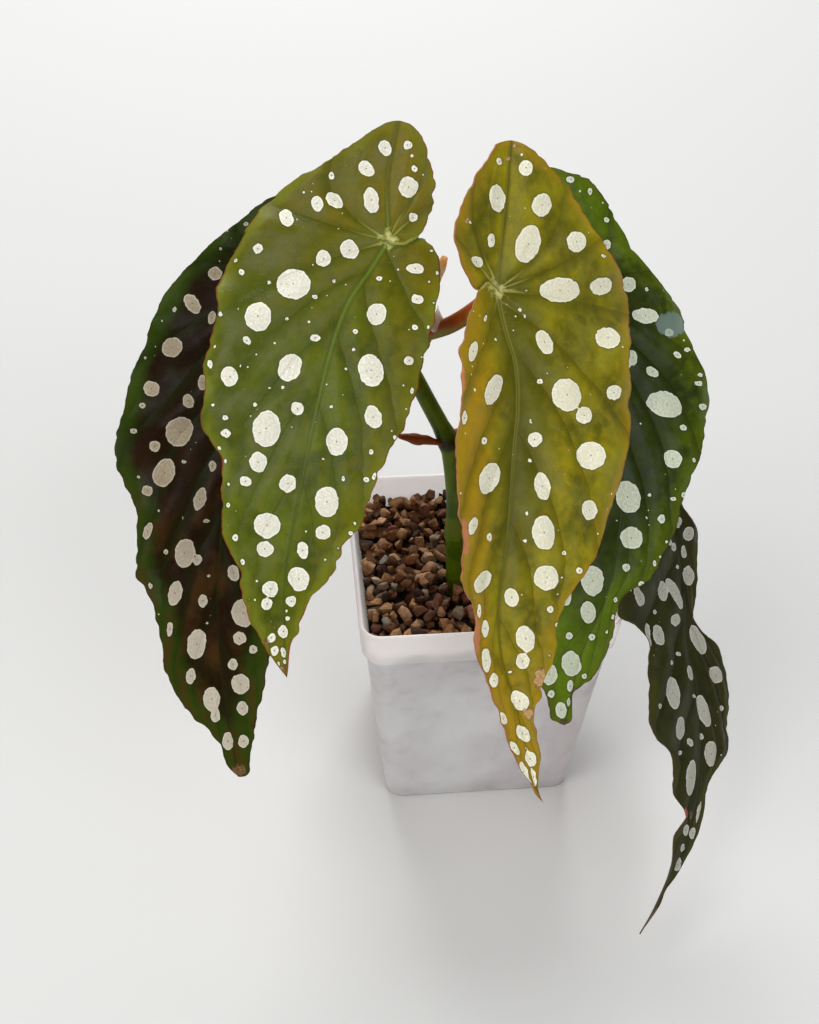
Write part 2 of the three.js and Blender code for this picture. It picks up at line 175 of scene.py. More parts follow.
def newGroup(name, inputs):
    # a group that puts out a colour, a roughness and a height; its inputs are colours or numbers
    group = bpy.data.node_groups.new(name, "ShaderNodeTree")
    for label, value in inputs.items():
        kind = "Color" if isinstance(value, tuple) else "Float"
        socket = group.interface.new_socket(label, in_out="INPUT", socket_type="NodeSocket" + kind)
        socket.default_value = (*value, 1) if kind == "Color" else value
    for label, kind in (("Color", "Color"), ("Roughness", "Float"), ("Height", "Float")):
        group.interface.new_socket(label, in_out="OUTPUT", socket_type="NodeSocket" + kind)
    start = group.nodes.new("NodeGroupInput")
    return group, {label: out(start, label) for label in inputs}, group.nodes.new("NodeGroupOutput")


# Camera: where the photograph was taken from
cameraSpot = {
    "place": (-51.8, -300.5, 325.1), "down": 38.4, "turn": 6.2, "roll": 1.3, "lens": 50.0, "sensor": 36.0,
    "pictureWidth": 819, "pictureHeight": 1024, "clipStart": 0.01,
}


def cameraAxes():
    down, turn, roll = (math.radians(cameraSpot[key]) for key in ("down", "turn", "roll"))
    forward = Vector((math.sin(turn) * math.cos(down), math.cos(turn) * math.cos(down), -math.sin(down)))
    level = Vector((math.cos(turn), -math.sin(turn), 0.0))
    below = forward.cross(level)
    right = level * math.cos(roll) - below * math.sin(roll)
    return right, forward.cross(right), forward


def makeCamera():
    right, below, forward = cameraAxes()
    data = bpy.data.cameras.new("camera")
    data.lens = cameraSpot["lens"]
    data.sensor_fit = "VERTICAL"
    data.sensor_height = cameraSpot["sensor"]
    data.clip_start = cameraSpot["clipStart"]
    camera = addObject("camera", data)
    turn = Matrix((right, -below, -forward)).transposed().to_4x4()
    camera.matrix_world = Matrix.Translation(Vector(cameraSpot["place"]) * mm) @ turn
    scene.camera = camera
    print("camera ready")


# Floor, sky and lamps, in metres and watts
studio = {
    "floorSize": 6.0, "floorColour": (0.53, 0.53, 0.52), "floorRough": 0.8,
    "skyColour": (0.98, 0.99, 1.0), "skyStrength": 0.34, "aim": (0.0, -0.03, 0.11),
    "lamps": {
        "windowLamp": {"place": (-0.75, -0.45, 1.0), "size": 0.9, "watts": 9.5, "colour": (1.0, 0.99, 0.97)},
        "fillLamp": {"place": (0.55, -0.95, 0.85), "size": 1.0, "watts": 9.0, "colour": (0.97, 0.99, 1.0)},
        "backLamp": {"place": (0.0, 1.3, 1.15), "size": 1.2, "watts": 27.0, "colour": (1.0, 1.0, 1.0)},
    },
}


def makeStudio():
    bm = bmesh.new()
    bmesh.ops.create_grid(bm, x_segments=1, y_segments=1, size=studio["floorSize"] / 2)
    floor = objectFrom(bm, "floor")
    mat, _, shader = newMaterial("floorPaper")
    give(shader, {"Base Color": studio["floorColour"], "Roughness": studio["floorRough"]})
    floor.data.materials.append(mat)
    world = bpy.data.worlds.new("sky")
    world.use_nodes = True
    scene.world = world
    sky = {"Color": studio["skyColour"], "Strength": studio["skyStrength"]}
    give(world.node_tree.nodes["Background"], sky)
    for name, lamp in studio["lamps"].items():
        data = bpy.data.lights.new(name, "AREA")
        data.shape = "DISK"
        data.size = lamp["size"]
        data.energy = lamp["watts"]
        data.color = lamp["colour"]
        light = addObject(name, data)
        light.location = lamp["place"]
        aim = Vector(studio["aim"]) - light.location
        light.rotation_euler = aim.to_track_quat("-Z", "Y").to_euler()
    scene.view_settings.view_transform = "Standard"
    print("floor, sky and lamps ready")


# Curves through given points
def alongPoints(points, before=None, after=None):
    # a smooth line through points, as a function of the share of its length; "before" and "after" are
    # where a neighbouring line goes on, where the two should meet without a corner
    ends = [2 * points[0] - points[1] if before is None else np.array(before, float), *points,
            2 * points[-1] - points[-2] if after is None else np.array(after, float)]
    track = []
    for k in range(1, len(ends) - 2):
        p0, p1, p2, p3 = ends[k - 1:k + 3]
        d0, d1, d2 = (max(np.linalg.norm(q - p) ** 0.5, 1e-4) for p, q in ((p0, p1), (p1, p2), (p2, p3)))
        start = ((p1 - p0) / d0 - (p2 - p0) / (d0 + d1) + (p2 - p1) / d1) * d1
        end = ((p2 - p1) / d1 - (p3 - p1) / (d1 + d2) + (p3 - p2) / d2) * d1
        for t in np.linspace(0, 1, 24, endpoint=False):
            track.append(p1 + start * t + (3 * (p2 - p1) - 2 * start - end) * t ** 2
                         + (2 * (p1 - p2) + start + end) * t ** 3)
    track = np.array([*track, points[-1]])
    lengths = np.concatenate([[0], np.cumsum(np.linalg.norm(np.diff(track, axis=0), axis=1))])
    shares = lengths / lengths[-1]
    return lambda u: np.stack([np.interp(u, shares, track[:, k]) for k in range(track.shape[1])], axis=-1)


def valueThrough(points, x):
    # a smooth value at x through [x, y] points
    xs, ys = points[:, 0], points[:, 1]
    before = np.maximum(np.arange(len(xs)) - 1, 0)
    after = np.minimum(np.arange(len(xs)) + 1, len(xs) - 1)
    slopes = (ys[after] - ys[before]) / (xs[after] - xs[before])
    at = np.clip(x, xs[0], xs[-1])
    k = np.clip(np.searchsorted(xs, at) - 1, 0, len(xs) - 2)
    step = xs[k + 1] - xs[k]
    u = (at - xs[k]) / step
    ease = u * u * (3 - 2 * u)
    bend = step * u * (1 - u) * ((1 - u) * slopes[k] - u * slopes[k + 1])
    return ys[k] * (1 - ease) + ys[k + 1] * ease + bend


def stepUp(value, low, high):
    t = np.clip((value - low) / (high - low), 0, 1)
    return t * t * (3 - 2 * t)


def lump(points, seed):
    # smooth noise from -1 to 1 at a list of points
    offset = Vector((seed * 7.3, seed * 3.1, seed * 5.7))
    return np.array([noise.noise(Vector(p) + offset) for p in points])


# Leaves. Each blade lies in a plane of its own: "attach" is where the stalk meets it, "tip" its point and
# "faces" the way its upper side looks. Outlines are [distance from the stalk towards the tip, distance to
# the right of that line], in millimetres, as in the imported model, and "veins" hold where the side veins
# of each side start and end, as shares of the leaf. Spots, scars and marks are where the photograph shows
# them: [across, down, width, height, lean], in its pixels and degrees, the lean clockwise. A round one has
# no height, and an upright one no lean. Hidden spots are [along, right, width] on the blade.
bladeCommon = {
    "rowsUp": 60, "rowsDown": 190, "columns": 42, "thickness": 0.34, "foldRound": 4, "lobeRound": 6,
    "curlSpan": 10, "waveSpan": 25, "waveShift": 2.1, "notchReach": 9, "mapSize": 100.0,
    "quilt": 0.8, "crease": 0.26, "creaseWidth": 0.45, "ribWidth": 0.6,
    "lumps": [(0.32, 9, 3), (0.1, 3.1, 5)],
    "tooth": 0.55, "toothSteps": (3.4, 1.3), "scallopStep": 4.4, "driftStep": 9, "ripple": 0.5,
    "rippleStep": 6.5, "backBump": 0.6, "backGloss": 0.4,
}
leaves = {
    "left_front": {
        "attach": (-26, -6, 170.5), "tip": (-54, -70, 95), "faces": (-0.15, -0.78, 0.62),
        "arch": 7, "lobeLift": 0.35, "fold": (0.14, 0.1), "curl": (0.6, 0.5), "wave": (1.2, 21, 0.1),
        "vein": [(-27.5, -4), (-14, -3.5), (0, 0), (8, -2.5), (17, -5.5), (27, -6.5), (42, -6.5), (60, -6),
                 (81, -5), (96, -2), (103, 0)],
        "leftUp": [(-27.5, -4), (-25, -8.5), (-20, -13), (-14.5, -18.5), (-9.5, -25), (-4, -29.5),
                   (5, -33)],
        "leftDown": [(5, -33), (12, -35), (19.5, -36), (26, -34), (36, -34.5), (43, -32.5), (51.5, -31),
                     (58, -25), (63, -23.5), (75, -20.5), (82, -15), (87, -13.5), (95.5, -8), (103, 0)],
        "rightUp": [(-27.5, -4), (-26.5, 0), (-23, 3.5), (-18.5, 5.5), (-14.5, 7.5), (-7.5, 7.8),
                    (-4.5, 7.2), (-2, 6.2)],
        "rightDown": [(-2, 6.2), (-2, 8), (0.2, 10.8), (3, 12.8), (7, 14), (17.5, 14.5), (30, 14.5),
                      (40, 14), (48.5, 11.5), (60, 9.6), (67, 8.7), (69.8, 6.7), (73.8, 6.2), (79, 4.8),
                      (83.8, 1.9), (87.5, 0.8), (90.2, 0.3), (92, 0.7), (94.5, -0.5), (103, 0)],
        "veins": ([(0, -0.62), (0, -0.2), (0, 0.2), (0.07, 0.42), (0.2, 0.6), (0.36, 0.76), (0.54, 0.88),
                   (0.74, 0.97)],
                  [(0, -0.66), (0, -0.3), (0, 0.24), (0.1, 0.46), (0.24, 0.62), (0.4, 0.77), (0.57, 0.88),
                   (0.75, 0.96)]),
        "spots": [
            (385, 148.5, 13.5, 15.5, -20), (408, 146, 9, 10), (366.5, 169.5, 14, 19, -50),
            (414.5, 169, 6, 7), (331.5, 175, 7, 9, -20), (371.5, 201, 15.5, 27.5, -5),
            (408.5, 187.5, 20, 21, 10), (334.5, 201, 14.5, 20.5, -45), (317.5, 204.5, 13, 16, -20),
            (286.5, 218.5, 14, 20, -20), (413, 217.5, 10), (349.5, 250, 18, 21, -35),
            (323.5, 259, 16, 17.5), (293.5, 284.5, 35, 31.5), (258.5, 249.5, 10, 11), (258.5, 317, 27, 30),
            (241.6, 273, 6.5), (269.5, 283, 6, 5), (315, 297, 6, 5.5), (333.7, 281, 5, 6, -20),
            (355, 220, 3, 5, -30), (379.5, 279.5, 7.5, 5), (415.5, 269, 19, 10.5, 8),
            (417, 299.5, 13, 10, 20), (377, 314.5, 21, 22), (236, 261, 4, 6, 30), (220.5, 314, 5.5),
            (239, 308.5, 4), (286.5, 319, 4.5), (415, 327.5, 6.5, 5.5), (247.4, 341, 7, 10.5, -30),
            (315.2, 337.8, 11.5, 8.5, -5), (355.8, 332.6, 6), (354, 350, 4), (371, 371, 25, 33.5, -12),
            (409, 361, 10), (411.5, 391.5, 5, 7, 10), (290, 368, 23.5, 30, 25), (230, 377, 18, 21, -15),
            (240.7, 366, 3.5), (210.5, 364.5, 5.5, 10), (215, 347, 3, 5, 10), (297.5, 408.7, 14.5, 13.5),
            (255, 405, 4.5, 5), (226, 417.7, 8, 6), (226.5, 433.6, 10.5, 9.5), (266.7, 429, 28, 37, 8),
            (258.5, 462.5, 18, 21, 10), (373.6, 417.5, 17, 24.5, -18), (337, 441.7, 22, 29),
            (332, 407, 4.5, 5), (371, 451.6, 5.5, 6.5), (394.7, 437, 4, 5), (246, 481.5, 11.5, 11),
            (228.5, 484.5, 4.5, 5), (288, 483.5, 17.5, 19, 15), (343.7, 478.5, 5, 6.5), (366.5, 480, 6.5),
            (374.5, 476.5, 5, 7.5, 15), (327, 502, 24, 31.5), (267.3, 525.4, 27, 26.5),
            (323, 532.5, 16, 15.5), (228.5, 504.5, 4, 6), (235.5, 537.5, 7.5, 7), (354.7, 523.5, 4, 5),
            (350.5, 533, 6, 5), (265, 549, 18, 16), (303, 550.5, 12, 17.5, -15), (299, 579, 21, 25.5, -15),
            (270.5, 589, 17), (267, 603.5, 12, 13, 30), (291.5, 601, 11, 11.5), (287, 611, 4, 4.5),
            (288, 618.5, 5), (270.5, 621.5, 3.5, 3), (283, 631.5, 11.5, 13.5),
            (271.5, 637.5, 8.5, 11.5, 45), (274.6, 650.5, 9, 11, 10), (283.5, 652.5, 6, 12, -15),
            (279, 664, 3.5, 5.5, -15), (284.5, 661.5, 3.5, 5), (242.5, 562, 5, 6.5), (269.5, 387.6, 3.5),
            (283.3, 387.8, 3.5, 4.5, 20), (212.6, 404.5, 4, 5, -40), (292.4, 427.5, 3.3), (323.4, 459, 3.3),
            (346, 369.4, 3.3, 3.5), (422.3, 357.5, 4), (236, 511.4, 4.3, 4), (220, 448.5, 4, 5, -30),
            (226, 461.5, 3.3, 4.5), (325.4, 560.2, 3.5), (338.4, 549.3, 4, 4.5, -40), (249.5, 599.7, 3.3),
            (390.4, 451.1, 3.3), (210.9, 374.2, 3.5), (431.2, 251.2, 4), (437.3, 273, 3.6, 4.5, 10),
            (429.2, 282.2, 4.5, 3.6, 30), (433.5, 303.4, 3.6, 3.3, 40), (428, 327.8, 3.8, 4.5)],
        "seam": [(-2, 6.2), (0.2, 3.9), (0.7, 1.6), (0.3, 0.2)],
        "scars": [(288, 676, 4, 9, -10), (282, 668, 5, 6), (434, 190, 3, 6), (268, 642, 3, 5, 20)],
        "scallop": 0.35,
    },
    "right_front": {
        "attach": (-2, -17, 163), "tip": (3, -88, 70), "faces": (0.25, -0.75, 0.6),
        "arch": 6, "lobeLift": 0.3, "fold": (0.8, -0.12), "curl": (0, 0.35), "wave": (1.4, 26, 0.3),
        "vein": [(-33.5, 5.5), (-16, 3), (0, 0), (11, 1), (17.5, 2), (25, 1.5), (39, -1.5), (57.5, -5),
                 (68, -7.5), (76, -8.5), (84, -8), (93.5, -5.5), (107, -2.5), (114.5, -0.7), (119.1, 1.5)],
        "leftUp": [(-33.5, 5.5), (-32.5, 2), (-27.5, -3), (-22.5, -7.5), (-17, -11), (-12, -13), (-7, -12),
                   (-3, -9.5), (-0.7, -7.3), (0.3, -5.6)],
        "leftDown": [(0.3, -5.6), (2, -6.2), (4, -8), (7.5, -11), (12, -13.2), (14.4, -15.4), (17.2, -15.2),
                     (20, -16.4), (25.5, -17.5), (37, -19.5), (49.5, -20.5), (56, -19), (66, -19),
                     (71.5, -15.5), (80, -16), (87, -13.5), (101.5, -8.5), (110, -4.6), (113.7, -1.9),
                     (116.6, -0.5), (119.1, 1.5)],
        "rightUp": [(-33.5, 5.5), (-31.5, 10.5), (-27.5, 16), (-22, 22.5), (-12.5, 28.5), (-6.5, 33.5),
                    (-1.5, 38.5)],
        "rightDown": [(-1.5, 38.5), (3.5, 41), (10, 37), (18, 33.5), (25, 35), (32, 34.5), (40, 30),
                      (50, 26.5), (57, 23.5), (63, 19), (68, 14), (75, 8), (85, 5.8), (90, 2.2),
                      (91.8, 1.3), (94.2, 1.4), (95.7, -0.3), (97.7, -0.6), (103, 0), (108, 0.6),
                      (114.5, 0.1), (117, 0.6), (119.1, 1.5)],
        "veins": ([(0, -0.66), (0, -0.34), (0, 0.22), (0.12, 0.42), (0.26, 0.58), (0.42, 0.74), (0.6, 0.87),
                   (0.78, 0.96)],
                  [(0, -0.66), (0, -0.3), (0, 0.06), (0.02, 0.3), (0.12, 0.52), (0.27, 0.68), (0.44, 0.82),
                   (0.62, 0.92), (0.8, 0.98)]),
        "spots": [
            (495.5, 199, 19, 28, -5), (540.5, 205.5, 21, 24, 15), (524.5, 168.5, 13, 17, -5),
            (498.5, 162, 7, 9), (527, 244.5, 25, 39, 18), (490, 240.5, 8, 15, -5),
            (476.5, 261.5, 10, 13.5, -40), (575.3, 242, 21), (559.5, 290.5, 39, 25, 3),
            (600, 286.5, 22, 18, -8), (602.5, 256.5, 5), (469.5, 223, 2.5, 6, -45), (526, 291.5, 5, 4),
            (519, 309.5, 5, 6, -30), (525, 317, 4, 5, -20), (485, 318.5, 4, 8, 10),
            (472.8, 351.5, 9, 22, 12), (543.6, 342.5, 17.5, 26.5, -22), (606.5, 338.4, 26, 22),
            (494.6, 340.5, 3, 4), (492.3, 389.6, 17, 33, 22), (463.8, 418, 5, 16, 5),
            (565.5, 395, 28, 34, -22), (582.5, 415.5, 15.5, 18, -10), (613, 392.6, 14.5, 15.5),
            (539.5, 381.5, 8, 6), (566, 368.5, 3, 4), (533.7, 439.5, 14, 15.5), (590, 455.6, 28, 28.5),
            (529.4, 421.5, 5, 5.5), (483.5, 441, 6.5, 7.5), (529.4, 460.5, 4.5), (488, 478.3, 20.5, 34, 20),
            (542, 486.5, 17, 28.5, -8), (588.5, 510, 16.5, 21), (525.8, 513.5, 4.5, 5),
            (471.5, 525.5, 9, 19, 15), (487.5, 537, 5.5, 9), (542.5, 532.5, 23, 35.5, -8),
            (524, 541, 5, 4.5), (563.5, 553, 6), (578, 570.5, 7, 7, -20), (481.5, 581.5, 15, 26, 30),
            (545.5, 577.5, 24.5, 26, -20), (561, 577.5, 3), (511, 597.5, 13.5, 20, -5), (549.5, 609, 7.5),
            (557, 594, 3), (556.5, 625, 4.5, 5), (478.5, 611, 4, 14), (484.5, 628.5, 7.5, 17.5),
            (525, 638.5, 18.5, 27.5, -15), (522.5, 661, 14.5, 17), (485.5, 660.5, 9.5, 25.5, -3),
            (549, 656, 3), (510, 672.5, 4.5, 4), (493.5, 680.5, 9, 15), (519.5, 700.5, 16.5, 22, -35),
            (502.5, 718.5, 7, 14, -20), (522.5, 733.5, 13, 19, -35), (514, 748, 7, 17, -30),
            (530.5, 758.5, 11, 17, -20), (523.5, 771.5, 8.5, 21, -18), (534, 777, 5.5, 20, -12),
            (529, 784, 4, 12, -12), (526.5, 748.5, 4, 3, 30)],
        "seam": [(0.3, -5.6), (-1.5, -3.2), (-1.7, -2.3), (-0.9, -1.2), (-0.1, -0.2)],
        "scars": [(539, 678, 11, 20, 12), (529.5, 713, 12, 11, -20), (505, 160, 8, 3, -25),
                  (550, 161, 7, 4, 35), (565, 175, 6, 4, 40), (573, 189, 5, 4, 40), (515, 146, 7, 2.5),
                  (541, 794, 3, 8, -30), (466, 222, 3, 7)],
        "marks": [(464, 537, 7, 36, -4), (474.5, 634, 10, 40, -3),
                  (461.5, 375, 5, 34, -4)], "scallop": 0.35,
    },
    "left_rear": {
        "attach": (-46, 10, 155), "tip": (-67.6, -61, 52), "faces": (-0.35, -0.75, 0.6),
        "arch": 6, "lobeLift": 0.3, "fold": (0.12, 0.1), "curl": (0.5, 0.5), "wave": (1.6, 24, 0.55),
        "vein": [(-18.5, -5), (-9, -3), (0, 0), (8, -3.5), (18, -7), (34, -10), (54, -10.5), (71, -10),
                 (89, -8.5), (108, -5), (127, 0)],
        "leftUp": [(-18.5, -5), (-16.5, -9.5), (-12.5, -15), (-8, -19.5), (-2.5, -26), (6, -35)],
        "leftDown": [(6, -35), (14, -36), (24, -39), (29, -42), (39.5, -40), (49, -43), (54, -42.5),
                     (59, -37.5), (64, -33), (80.5, -32), (84.5, -27.5), (95.5, -23), (103, -21.5),
                     (112, -14.5), (119, -5.5), (124.5, -3), (127, 0)],
        "rightUp": [(-18.5, -5), (-17, 0), (-13, 5), (-8, 8.5), (-3.5, 8), (-1.5, 5), (0, 2.6)],
        "rightDown": [(0, 2.6), (0, 6), (1, 10), (4, 15), (10, 18), (20, 19), (32, 18.5), (44, 16),
                      (56, 12.5), (66, 11), (76, 9), (86, 7), (95, 5.5), (103.5, 5.5), (109, 4), (122, 3),
                      (126, 2.5), (127, 0)],
        "veins": ([(0, -0.6), (0, -0.2), (0, 0.16), (0.06, 0.36), (0.18, 0.54), (0.32, 0.7), (0.48, 0.82),
                   (0.65, 0.91), (0.82, 0.98)],
                  [(0, -0.66), (0, -0.3), (0, 0.24), (0.1, 0.44), (0.22, 0.6), (0.37, 0.74), (0.54, 0.86),
                   (0.72, 0.95)]),
        "spots": [
            (216, 274, 14.5), (193, 304, 14, 23, -35), (175.6, 310, 4.5, 6.5), (162, 321, 3.5),
            (173, 347.5, 22, 21), (222, 249, 4), (246, 224, 6), (145.5, 358, 3.5), (153, 389, 16),
            (143, 406, 7), (189.5, 401, 12, 15, -15), (180, 432, 27, 31, 20), (133.5, 431, 8, 6.5, 20),
            (156, 446, 11, 12), (165, 473, 23, 31, 30), (186, 462, 5), (213, 466, 8, 11.5, 5),
            (148, 491, 11, 11.5), (140, 477, 3.5), (201, 499, 13.5, 24, 18), (160, 511, 3.7),
            (183, 518, 4.5), (207, 521, 7, 5, -10), (148.6, 531, 10, 18, 20), (185.5, 553, 20, 30, 10),
            (198, 560, 10, 11, 40), (166, 552, 5.5, 6), (234, 573, 12.5, 17, -15), (209.5, 575.5, 4),
            (176, 593, 14, 26, 12), (150.5, 586, 5, 9), (203.5, 600.5, 9.5, 14.5, 5),
            (243, 613, 22, 29, -12), (207.5, 623, 3.7), (170.5, 629, 6.5, 15.5, 5),
            (197, 644, 19.5, 31, 10), (240, 638, 13.5), (253.5, 649.5, 10, 9), (233, 664, 10.5, 12.5),
            (191, 676, 10.5, 16, 10), (241, 684, 19, 21, -20), (212, 699, 17.5, 25), (216, 715, 10, 15),
            (243, 708, 12.5, 14.5), (228, 741, 11, 18), (244, 741, 12, 13), (232, 773.5, 6),
            (212.6, 318, 9, 14), (204, 383, 10, 16)],
        "hiddenSpots": [(12, 2, 5), (-6, -3, 3), (24, -4, 3.5), (30, 8, 5), (42, 2, 4), (54, 6, 4.5),
                        (40, -8, 4), (16, 11, 3.5), (6, -14, 4), (66, 3, 3.5), (22, -18, 4)],
        "scars": [(240, 771, 16, 12), (150, 310, 3, 6, 30)],
        "scallop": 0.45,
    },
    "right_rear": {
        "attach": (20.5, 6.5, 153.5), "tip": (13, -62.5, 67.5), "faces": (0.35, -0.75, 0.6),
        "arch": 6, "lobeLift": 0.3, "fold": (0.1, 0.12), "curl": (0.5, 0.5), "wave": (1.6, 25, 0.2),
        "vein": [(-25, -8), (-12, -3.5), (0, 0), (7, 4.5), (15, 8), (31, 11.5), (48, 12.5), (63, 12.5),
                 (80, 9.5), (94, 4), (111.9, 1.6)],
        "leftUp": [(-25, -8), (-22, -13), (-17, -16), (-10, -16), (-4, -12), (-2, -7), (0, -2.6)],
        "leftDown": [(0, -2.6), (0, -8), (3, -13), (9, -17), (18, -19), (30, -18.5), (42, -16.5),
                     (54, -14.5), (66, -12.5), (78, -11.5), (90, -11), (97.5, -9.8), (101.7, -7),
                     (104.2, -4.6), (107.2, -3.6), (110.2, -2.4), (111.2, -0.8), (111.9, 1.6)],
        "rightUp": [(-25, -8), (-24.5, -3), (-22.5, 5), (-15.5, 11.5), (-7.5, 17), (-2.5, 24), (3.5, 32.5)],
        "rightDown": [(3.5, 32.5), (6.5, 35), (12.5, 33.5), (18.5, 35.5), (23, 39), (30, 42), (37.5, 38),
                      (46, 35), (59.5, 30), (68.5, 25.5), (75, 22), (79.5, 15), (83, 13), (91, 12),
                      (96, 9.7), (99.9, 7.7), (102.3, 4.5), (103.6, 2.9), (107.1, 2.9), (110.8, 3.2),
                      (111.9, 1.6)],
        "veins": ([(0, -0.66), (0, -0.3), (0, 0.24), (0.1, 0.44), (0.22, 0.6), (0.38, 0.75), (0.55, 0.87),
                   (0.74, 0.96)],
                  [(0, -0.62), (0, -0.22), (0, 0.14), (0.06, 0.36), (0.18, 0.55), (0.34, 0.72), (0.52, 0.86),
                   (0.72, 0.96)]),
        "spots": [
            (569.5, 180, 7.5, 9.5, 60), (589, 192, 5.5, 8, 20), (606, 220, 6), (606, 245, 9, 11),
            (627, 285, 15, 16), (645, 290, 5, 5.5), (645, 316, 27, 16, 5), (669, 333, 9),
            (676, 355.5, 10, 7, 15), (687.5, 350, 7, 5), (651, 372, 14.5, 10.5, 25), (631.5, 358, 9, 17),
            (698, 375, 7, 5), (696, 383.5, 9, 6), (664.5, 404.5, 36, 25.5, 22), (701.5, 407, 9.5, 7),
            (682, 428, 8, 7), (672, 459, 16.5, 19, -20), (694, 460, 5, 6), (627, 497, 24.5, 33, -15),
            (649, 494.5, 4), (672.6, 499, 6, 5), (683, 495, 6, 7), (660.6, 519, 8, 10, -15), (646, 518, 4),
            (616, 521, 3.7), (631, 538, 21, 23, -20), (666, 542, 3.7), (626, 567.5, 8.7),
            (654, 563, 5, 6.6), (641.6, 584, 7.4, 5.8, 15), (591.6, 580.5, 22, 31), (615, 600, 4, 6),
            (587.5, 612, 16.5, 23, -8), (613, 617, 4.5, 5.5), (569, 636, 8), (592, 637, 7.4),
            (607, 631.5, 4), (571, 663.6, 20.5, 26, -10), (584, 676, 6), (549, 674, 16.5, 23),
            (570, 686, 7, 12), (551, 694, 7.4, 9), (561, 710, 12, 17), (568.5, 702, 4, 10)],
        "hiddenSpots": [(-8, -8, 4), (6, -8, 3.5), (14, 2, 5), (28, -4, 5.5), (-14, -2, 3), (40, 4, 4),
                        (22, 14, 3.5), (46, -8, 4.5), (60, 4, 4), (66, -5, 5), (80, -2, 3.5),
                        (12, -13, 2.5), (34, -13, 3), (52, 10, 2)],
        "scars": [(565, 722.5, 13, 5.5, 12), (574, 691, 6, 7, 30), (583, 599, 3, 3.5)],
        "marks": [(671, 324.5, 27, 25)], "scallop": 0.5,
    },
    "low_right": {
        "attach": (51.5, -1.5, 90), "tip": (35, -86, 10), "faces": (0.58, -0.61, 0.54),
        "arch": 4, "lobeLift": 0.2, "fold": (0.15, 0.1), "curl": (0.4, 0.6), "wave": (2, 34, 0.4),
        "vein": [(-10, -6), (-5, -2.5), (0, 0), (13, 3), (29, 6), (40, 8), (55.5, 13), (69, 16), (82, 16),
                 (90, 14.5), (98, 11.5), (108.5, 6), (117.5, 0)],
        "leftUp": [(-10, -6), (-9, -10.5), (-5, -12), (-2, -9), (-1, -5.5), (0, -2.6)],
        "leftDown": [(0, -2.6), (3, -8), (8, -15), (15, -21), (24, -24), (32, -23.5), (36.5, -21.5),
                     (38.5, -13.5), (42.5, -8), (57, -8.5), (62, -9.5), (66.5, -6), (71, 3), (81, 5.5),
                     (86, 12), (91.5, 7.5), (100, 8), (110, 4), (117.5, 0)],
        "rightUp": [(-10, -6), (-8, -2), (-3, 2.5), (3, 6), (6.5, 10)],
        "rightDown": [(6.5, 10), (10, 12.5), (17, 11.5), (28, 11), (33.5, 10), (37, 14), (39.5, 20),
                      (45, 23.5), (52, 25.5), (61.5, 26.5), (68.5, 28), (73, 23.5), (78, 20), (88.5, 18.5),
                      (100.5, 12.5), (106, 8), (110, 6), (117.5, 0)],
        "veins": ([(0, -0.5), (0, 0.1), (0.03, 0.26), (0.14, 0.42), (0.28, 0.58), (0.44, 0.74), (0.62, 0.88),
                   (0.8, 0.97)],
                  [(0, -0.3), (0, 0.2), (0.08, 0.4), (0.2, 0.55), (0.35, 0.7), (0.52, 0.84), (0.72, 0.95)]),
        "spots": [
            (687.5, 534, 9.5, 15, -5), (678, 522, 7, 12), (672.6, 547, 7, 9), (688, 575.7, 12, 20, -5),
            (673.5, 593.6, 10, 34, -24), (661, 587, 6, 7), (638, 599, 9.5, 15), (674, 620, 11.5, 13),
            (648, 634.5, 5.5, 24, -8), (657, 635, 9, 22, -12), (697.6, 640, 12.5, 32, -22),
            (688.9, 673, 9, 16, -15), (715, 675, 13, 17.5, -15), (671.5, 693, 12, 33, -5),
            (703.3, 711, 11, 33, -15), (720.5, 708, 5, 6.5), (659, 706, 5, 5.5), (679, 728, 11, 24, 3),
            (701, 736.5, 5, 7), (688.5, 742, 5.5, 9, -10), (710, 753.5, 12, 26), (689.4, 777.5, 10, 37, 5),
            (698, 812, 3, 24, 12), (685.5, 830, 6, 12, 10), (692.4, 833, 5, 12, 10), (682.5, 848, 6, 9, 10),
            (678.6, 864.5, 6, 15, 12), (677.8, 567, 5), (654.6, 612, 4.5, 5), (678, 654, 5, 5.5),
            (670.6, 662.5, 4, 6), (693.5, 696, 4.5, 5), (679.5, 752.6, 4, 5)],
        "hiddenSpots": [(4, 2, 4.5), (10, -8, 4), (16, 6, 3), (20, -14, 4.5), (28, -4, 5), (14, -1, 2.5),
                        (-4, -4, 2.5), (30, -17, 3)],
        "scars": [(650, 922, 8, 30, 30), (690, 815, 4, 6)],
        "scallop": 0.4,
    },
}


def bladeFrame(leaf):
    # where the blade's plane lies, and how long the leaf is
    attach = np.array(leaf["attach"], float)
    along = np.array(leaf["tip"], float) - attach
    length = np.linalg.norm(along)
    along /= length
    facing = np.array(leaf["faces"], float)
    facing -= along * (facing @ along)
    facing /= np.linalg.norm(facing)
    return attach, along, np.cross(facing, along), facing, length


def reliefOf(leaf, length, a, b):
    # how far the blade stands out of its plane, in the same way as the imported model
    s = a / length
    w = b - valueThrough(np.array(leaf["vein"], float), a)
    pick = lambda pair: np.where(w < 0, pair[0], pair[1])
    lobe, fold = bladeCommon["lobeRound"], bladeCommon["foldRound"]
    behind = (np.hypot(a, lobe) - a - lobe) / 2
    height, wavelength, phase = leaf["wave"]
    wave = np.sin(2 * math.pi * (a / wavelength + phase) + bladeCommon["waveShift"] * (w >= 0))
    return (leaf["arch"] * 4 * s * np.where(s > 0, 1 - s, 1) + leaf["lobeLift"] * behind
            + pick(leaf["fold"]) * (np.hypot(w, fold) - fold)
            - pick(leaf["curl"]) * (w / bladeCommon["curlSpan"]) ** 2
            + height * wave * (w / bladeCommon["waveSpan"]) ** 2)


